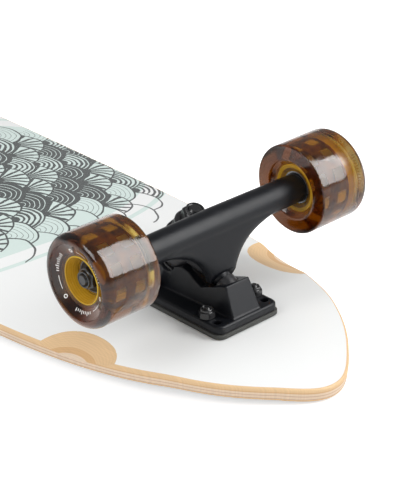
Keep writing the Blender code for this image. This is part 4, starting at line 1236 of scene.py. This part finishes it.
def make_hanger(truck, place):
    """Tube, web, kingpin ring and pivot melted into one casting, then bored and relieved."""
    body = f"{truck}_hanger_body"
    steer = place.inverted() @ steer_frame(truck)
    line = place.inverted() @ kingpin_frame(truck)
    cup_low, cup_high = span(f"{truck}_pivot_cup", place @ steer)
    ring_low = span(f"{truck}_bottom_bushing", place @ line)[1].z + SEAT_GAP
    bushing_low, bushing_high = span(f"{truck}_top_bushing", place @ line)
    ring_high = bushing_low.z - SEAT_GAP
    half = HANGER_HALF_LENGTH
    tube = [(0.0, -half), (HANGER_END_RADIUS, -half), (HANGER_MID_RADIUS, 0.0),
            (HANGER_END_RADIUS, half), (0.0, half)]
    bm = moved(lathe(tube, FACETS), AXLE_LINE)
    merge(bm, hanger_web())
    outline = arc(RING_RADIUS, QUARTER, 3.0 * QUARTER, 32)
    outline += [(RING_ARM_LENGTH, -RING_ARM_HALF_WIDTH), (RING_ARM_LENGTH, RING_ARM_HALF_WIDTH)]
    merge(bm, layered(outline, [(0.0, ring_low), (0.0, ring_high)]), line)
    tip = cup_high.z - PIVOT_CUP_FLOOR - SEAT_GAP
    mouth = cup_low.z - SWEEP_GAP
    merge(bm, rod(NECK_RADIUS, mouth, mouth - NECK_LENGTH, FACETS), steer)
    hanger = as_object(f"{truck}_hanger_casting", bm, "cast")
    cast(hanger, HANGER_SMOOTHING)
    reliefs = [moved(rod(SIDE_RELIEF_RADIUS, mouth - PIVOT_CUP_WALL, mouth + 0.03), steer),
               moved(rod(AXLE_HOLE_RADIUS, -half - 0.01, half + 0.01), AXLE_LINE),
               moved(rod(RING_BORE_RADIUS, ring_low - 0.009, ring_high + SEAT_GAP), line)]
    middle = (ring_low + ring_high) / 2.0
    nut_low, nut_high = span(f"{truck}_kingpin_nut", place @ line)
    washer_low, washer_high = span(f"{truck}_top_washer", place @ line)
    wide = max(washer_high.x, bushing_high.x) + SWEEP_GAP
    for reach, low, high in ((wide, ring_high + SEAT_GAP / 2.0, nut_low.z),
                             (nut_high.x + SWEEP_GAP, washer_low.z, nut_high.z + 0.002)):
        swing = (high - middle) * math.sin(STEER_LIMIT)
        slot = layered(stadium(reach, swing), [(0.0, low), (0.0, high + SWEEP_GAP)])
        reliefs.append(moved(slot, line))
    cut(hanger, reliefs)
    root = mouth - NECK_FOOT
    profile = [(0.0, tip), (PIVOT_RADIUS, tip), (PIVOT_RADIUS, mouth),
               (NECK_RADIUS, mouth - PIVOT_CUP_WALL), (NECK_RADIUS - 0.001, root), (0.0, root)]
    dress(hanger, body, place, f"{truck}_hanger")
    piece(f"{truck}_hanger_pivot", lathe(eased(profile, NECK_ROUND)), "cast", body, place @ steer)


def make_axle(truck, place):
    node = f"{truck}_axle"
    high = span(node, place @ AXLE_LINE)[1]
    half = high.z
    tip = high.x * 0.75
    thread = threaded(high.x, half - AXLE_THREAD, half - 0.0008, pitch=0.0010, depth=0.0003)
    end = thread + [(tip, half), (0.0, half)]
    profile = [(radius, -level) for radius, level in reversed(end)] + end
    piece(f"{truck}_axle_rod", lathe(profile, SMALL_FACETS), "black_steel", f"{truck}_hanger_body",
          place @ AXLE_LINE, node)


# Wheels

def dish_depth(radius):
    """How far the tyre's dished face lies below its outer edge."""
    share = (WHEEL_GROOVE_RADIUS - radius) / (WHEEL_GROOVE_RADIUS - WHEEL_DISH_RADIUS)
    return WHEEL_GROOVE_DEPTH + (WHEEL_DISH_DEPTH - WHEEL_GROOVE_DEPTH) * share


def wheel_outline(low, high, radius, core_low, core_high, bore):
    """The tyre's outline from the truck's side outwards; its bore lies just inside the core's skin."""
    start = (bore, core_low + 0.0004)
    back = [start, (WHEEL_BACK_DISH_RADIUS, low), (radius - FINE_GAP, low), (radius, core_low + 0.003)]
    back = eased(back, 0.0014, 5)[6:-6]
    lip = []
    for step in range(13):
        across, rise = polar(1.0, step / 12.0 * QUARTER)
        lip.append((WHEEL_FACE_RADIUS + (radius - WHEEL_FACE_RADIUS) * across,
                    high - WHEEL_LIP + WHEEL_LIP * rise))
    groove = high - WHEEL_GROOVE_DEPTH
    front = [(WHEEL_FACE_RADIUS - CHAMFER, high - FINE_GAP),
             (WHEEL_GROOVE_RADIUS + CHAMFER, groove + FINE_GAP), (WHEEL_GROOVE_RADIUS, groove)]
    for reach in (WHEEL_DISH_RADIUS - FINE_GAP, WHEEL_DISH_RADIUS - 0.0006):
        front.append((reach, high - dish_depth(reach)))
    return [start] + back + lip + front + [(bore, core_high)]


def core_outline(low, high, rim_level, radius, seat, wide):
    """The hub's outline: pockets round its skin, a rim and a stepped funnel to the outer bearing.

    Low and high are the outer ends of the two bearings.
    """
    def skin(level):
        def at(angle):
            turn = (angle * POCKETS / math.tau) % 1.0
            inside = POCKET_EDGES[0] < turn < POCKET_EDGES[1]
            return radius - (POCKET_DEPTH if inside else 0.0), level
        return at

    foot = low - CORE_LIP
    shoulder = high + CORE_LIP
    profile = [(seat, low), (seat + 0.0004, low - 0.0004), (radius - 0.0006, foot),
               (radius, foot + 0.0005)]
    for start in (foot + POCKET_INSET, shoulder - POCKET_INSET - POCKET_WIDTH):
        end = start + POCKET_WIDTH
        profile += [(radius, start), skin(start + CHAMFER), skin(end - CHAMFER), (radius, end)]
    rim = WHEEL_DISH_RADIUS - SEAT_GAP
    mouth = rim - CORE_RIM_WIDTH
    profile += [(radius, shoulder), (rim, rim_level - 0.0003), (rim - 0.0003, rim_level),
                (mouth + 0.0003, rim_level), (mouth, rim_level - CHAMFER)]
    for step in range(1, FUNNEL_STEPS + 1):
        share = step / FUNNEL_STEPS
        level = rim_level - CHAMFER + (high + CHAMFER - rim_level) * share
        tread = mouth + (seat + CHAMFER - mouth) * share
        profile += [(tread + 0.00018, level + 0.00005), (tread, level)]
    profile += [(seat, high), (seat, high - wide), (CORE_WEB_RADIUS, high - wide),
                (CORE_WEB_RADIUS, low + wide), (seat, low + wide)]
    return profile


def make_bearing(name, body, place, low, high, outer):
    """Races as one ring with a recess on each side, and the two shields in it."""
    wide = high - low
    inner = AXLE_BORE
    inner_race = inner + RACE_WIDTH
    outer_race = outer - RACE_WIDTH
    profile = [(inner, 0.0), (inner_race, 0.0), (inner_race, RACE_DIP), (outer_race, RACE_DIP),
               (outer_race, 0.0), (outer, 0.0), (outer, wide), (outer_race, wide),
               (outer_race, wide - RACE_DIP), (inner_race, wide - RACE_DIP), (inner_race, wide),
               (inner, wide)]
    spot = raised(place, low)
    piece(f"{name}_races", lathe(eased(profile, CHAMFER, 2)), "bright_steel", body, spot, name)
    for side, level in (("inner", CHAMFER), ("outer", wide - RACE_DIP)):
        shield = ring_profile(outer_race - FINE_GAP, inner_race + FINE_GAP, level,
                              level + RACE_DIP - CHAMFER)
        piece(f"{name}_{side}_shield", lathe(eased(shield, FINE_GAP, 2)), "shield", body, spot)


def make_print(name, body, place, high):
    """Printed marks on the dished face: groups of short bars, an arc and a disc between them."""
    bm = bmesh.new()
    thin = PRINT_THICKNESS

    def mark(start, end, low, top):
        count = max(2, round((end - start) * 40.0))
        outline = arc(top, start, end, count) + arc(low, end, start, count)
        merge(bm, layered(outline, [(0.0, high - thin), (0.0, high + thin)]))

    for group in range(PRINT_GROUPS):
        turn = group * math.tau / PRINT_GROUPS + 0.3
        for bar in range(PRINT_BARS):
            start = turn + bar * BAR_SPACING
            top = PRINT_OUTER - (0.0 if bar % 3 == 0 else 0.0007)
            mark(start, start + BAR_WIDTH, PRINT_INNER + 0.0006, top)
        mark(turn + 0.86, turn + 1.30, PRINT_INNER + 0.0009, PRINT_INNER + 0.0012)
        middle = (PRINT_INNER + PRINT_OUTER) / 2.0
        spot = Matrix.Rotation(turn + 1.55, 4, "Z") @ Matrix.Translation((middle, 0.0, high))
        merge(bm, lathe(ring_profile(0.0013, 0.0008, -thin, thin), 24), spot)
    for vert in bm.verts:
        vert.co.z -= dish_depth(math.hypot(vert.co.x, vert.co.y))
    piece(f"{name}_print", bm, "print", body, place)


def make_wheel(truck, hand):
    name = f"{truck}_{hand}"
    body = f"{name}_wheel_body"
    hanger = f"{truck}_hanger_body"
    place = wheel_frame(truck, hand)
    tyre_low, tyre_high = span(f"{name}_wheel", place)
    core_high = span(f"{name}_wheel_core", place)[1]
    bearings = {side: span(f"{name}_{side}_bearing", place) for side in ("inner", "outer")}
    low = bearings["inner"][0].z
    high = bearings["outer"][1].z
    bearing_high = bearings["inner"][1]
    outline = wheel_outline(tyre_low.z, tyre_high.z, tyre_high.x, low - CORE_LIP, high + CORE_LIP,
                            core_high.x - CORE_OVERLAP)
    piece(f"{name}_tyre", lathe(outline, 2 * FACETS), "urethane", body, place, f"{name}_wheel")
    outline = core_outline(low, high, core_high.z, core_high.x, bearing_high.x + CHAMFER,
                           bearing_high.z - low + SEAT_GAP)
    piece(f"{name}_hub", lathe(outline, 120), "core", body, place, f"{name}_wheel_core")
    for side, (start, end) in bearings.items():
        make_bearing(f"{name}_{side}_bearing", body, place, start.z, end.z, end.x)
    make_print(name, body, place, tyre_high.z)
    node = f"{name}_axle_nut"
    nut_low, nut_high = span(node, place)
    size = nut_high - nut_low
    piece(f"{name}_wheel_nut", lock_nut(min(size.x, size.y), size.z, AXLE_BORE - FINE_GAP),
          "black_steel", hanger, raised(place, nut_low.z), node)
    for side, start in (("inner", low - SEAT_GAP), ("outer", high)):
        ring = ring_profile(SPEED_RING_RADIUS, AXLE_BORE, start + 0.00002, start + SEAT_GAP - 0.00002)
        piece(f"{name}_{side}_speed_ring", lathe(ring), "bright_steel", hanger, place)


def make_truck(truck, place):
    make_riser(truck, place)
    make_baseplate(truck, place)
    make_bolts(truck, place)
    make_kingpin(truck)
    make_pivot_cup(truck, steer_frame(truck))
    make_hanger(truck, place)
    make_axle(truck, place)
    for hand in ("left", "right"):
        make_wheel(truck, hand)


# Stage, light and camera

FLOOR_HALF_SIZE = 6.0
FLOOR_DROP = 0.0004
FLOOR_GLOW = 0.62
FLOOR_SHEEN = 0.2
WORLD_FILL = 0.63
CEILING = 0.25
CEILING_START = 0.12
KEY_DIRECTION = (0.557, 0.566, 0.608)
KEY_DISTANCE = 3.0
KEY_SIZE = (1.0, 1.9)
KEY_POWER = 57.0
PANEL_DISTANCE = 1.6
PANEL_CORNERS = ((-0.5, -0.90), (0.47, -0.90), (0.26, -0.05), (0.19, 0.86), (-0.5, 0.86))
PANEL_GLOW = 6.8
SIDE_PLACE = (-0.2, -1.5, 1.2)
SIDE_SIZE = (1.0, 0.8)
SIDE_POWER = 12.5
NEAR_WHEEL_Y = -0.09


def flat_sheet(name, corners, finish):
    mesh = bpy.data.meshes.new(name)
    mesh.from_pydata([(x, y, 0.0) for x, y in corners], [], [range(len(corners))])
    mesh.materials.append(finish)
    return linked(name, mesh)


def make_floor():
    """A pale floor that keeps the shadow."""
    made, tree, shader = new_finish("pale_floor", Base_Color=(0.86, 0.86, 0.86), Roughness=0.9,
                                    Specular_IOR_Level=0.1)
    camera, gloss, glass = ray_kinds(tree)
    seen = camera * FLOOR_GLOW + (gloss + glass).step("MINIMUM", 1.0) * FLOOR_SHEEN
    glow = node_out(tree, "ShaderNodeEmission", Strength=seen)
    added = node_out(tree, "ShaderNodeAddShader", 0, Field(shader.outputs[0]), glow)
    plug(added, tree.nodes["Material Output"].inputs["Surface"])
    size = FLOOR_HALF_SIZE
    floor = flat_sheet("floor", ((-size, -size), (size, -size), (size, size), (-size, size)), made)
    floor.location.z = CAD_BOX[0][2] - FLOOR_DROP


def make_world():
    """White to the camera, through glass and low down in reflections; a dimmer studio overhead."""
    world = bpy.data.worlds.new("studio")
    bpy.context.scene.world = world
    world.use_nodes = True
    tree = world.node_tree
    camera, gloss, glass = ray_kinds(tree)
    overhead = coordinate(tree, "Generated").split()[2].remapped(0.0, CEILING_START, 1.0, CEILING)
    seen = (camera + glass).step("MINIMUM", 1.0)
    plug_all(tree.nodes["Background"], Color=(1.0, 1.0, 1.0),
             Strength=seen + (1.0 - seen) * (gloss * overhead + (1.0 - gloss) * WORLD_FILL))


def softbox(name, centre_at, target, size, power, long_axis):
    """A rectangular lamp facing a point, its first side near an axis."""
    light = bpy.data.lights.new(name, "AREA")
    light.shape = "RECTANGLE"
    light.size, light.size_y = size
    light.energy = power
    lamp = linked(name, light)
    back = (centre_at - target).normalized()
    along = (long_axis - long_axis.dot(back) * back).normalized()
    lamp.matrix_world = axes_frame(centre_at, along, back.cross(along), back)
    return lamp


def make_lights():
    """The key is where the photograph's softbox shows in the near wheel's tread; the side fills."""
    wheel = FRONT @ Vector((0.0, NEAR_WHEEL_Y, AXLE_Z))
    turn = FRONT.to_3x3()
    towards = turn @ Vector(KEY_DIRECTION).normalized()
    lamp = softbox("key", wheel + towards * KEY_DISTANCE, wheel, KEY_SIZE, KEY_POWER, turn @ ACROSS)
    make_panel(lamp.matrix_world, wheel + towards * PANEL_DISTANCE)
    softbox("side", FRONT @ Vector(SIDE_PLACE), FRONT.translation, SIDE_SIZE, SIDE_POWER,
            Vector((1.0, 0.0, 0.0)))


def make_panel(facing, spot):
    """A bright sheet in front of the key lamp, seen only in gloss, as a softbox would be."""
    made = bpy.data.materials.new("panel_light")
    made.use_nodes = True
    tree = made.node_tree
    tree.nodes.remove(tree.nodes["Principled BSDF"])
    glow = node_out(tree, "ShaderNodeEmission", Strength=ray_kinds(tree)[1] * PANEL_GLOW)
    plug(glow, tree.nodes["Material Output"].inputs["Surface"])
    panel = flat_sheet("panel", PANEL_CORNERS, made)
    panel.matrix_world = Matrix.Translation(spot) @ facing.to_3x3().to_4x4()
    panel.visible_camera = False
    panel.visible_diffuse = False
    panel.visible_transmission = False
    panel.visible_shadow = False


def make_camera():
    cosine, sine = polar(1.0, CAMERA_ROLL)
    level, drop = polar(1.0, CAMERA_PITCH)
    forward = Vector((*polar(level, CAMERA_YAW), -drop))
    right = forward.cross(Vector((0.0, 0.0, 1.0))).normalized()
    top = right.cross(forward)
    camera = linked("camera", bpy.data.cameras.new("camera"))
    camera.data.sensor_width = 36.0
    camera.data.lens = FOCAL_PIXELS / PHOTO_HEIGHT * camera.data.sensor_width
    camera.matrix_world = FRONT @ axes_frame(CAMERA_PLACE, cosine * right + sine * top,
                                             cosine * top - sine * right, -forward)
    bpy.context.scene.camera = camera


make_deck()
make_truck("front", FRONT)
make_truck("rear", REAR)
make_floor()
make_world()
make_lights()
make_camera()
bpy.context.scene.view_settings.view_transform = "Standard"
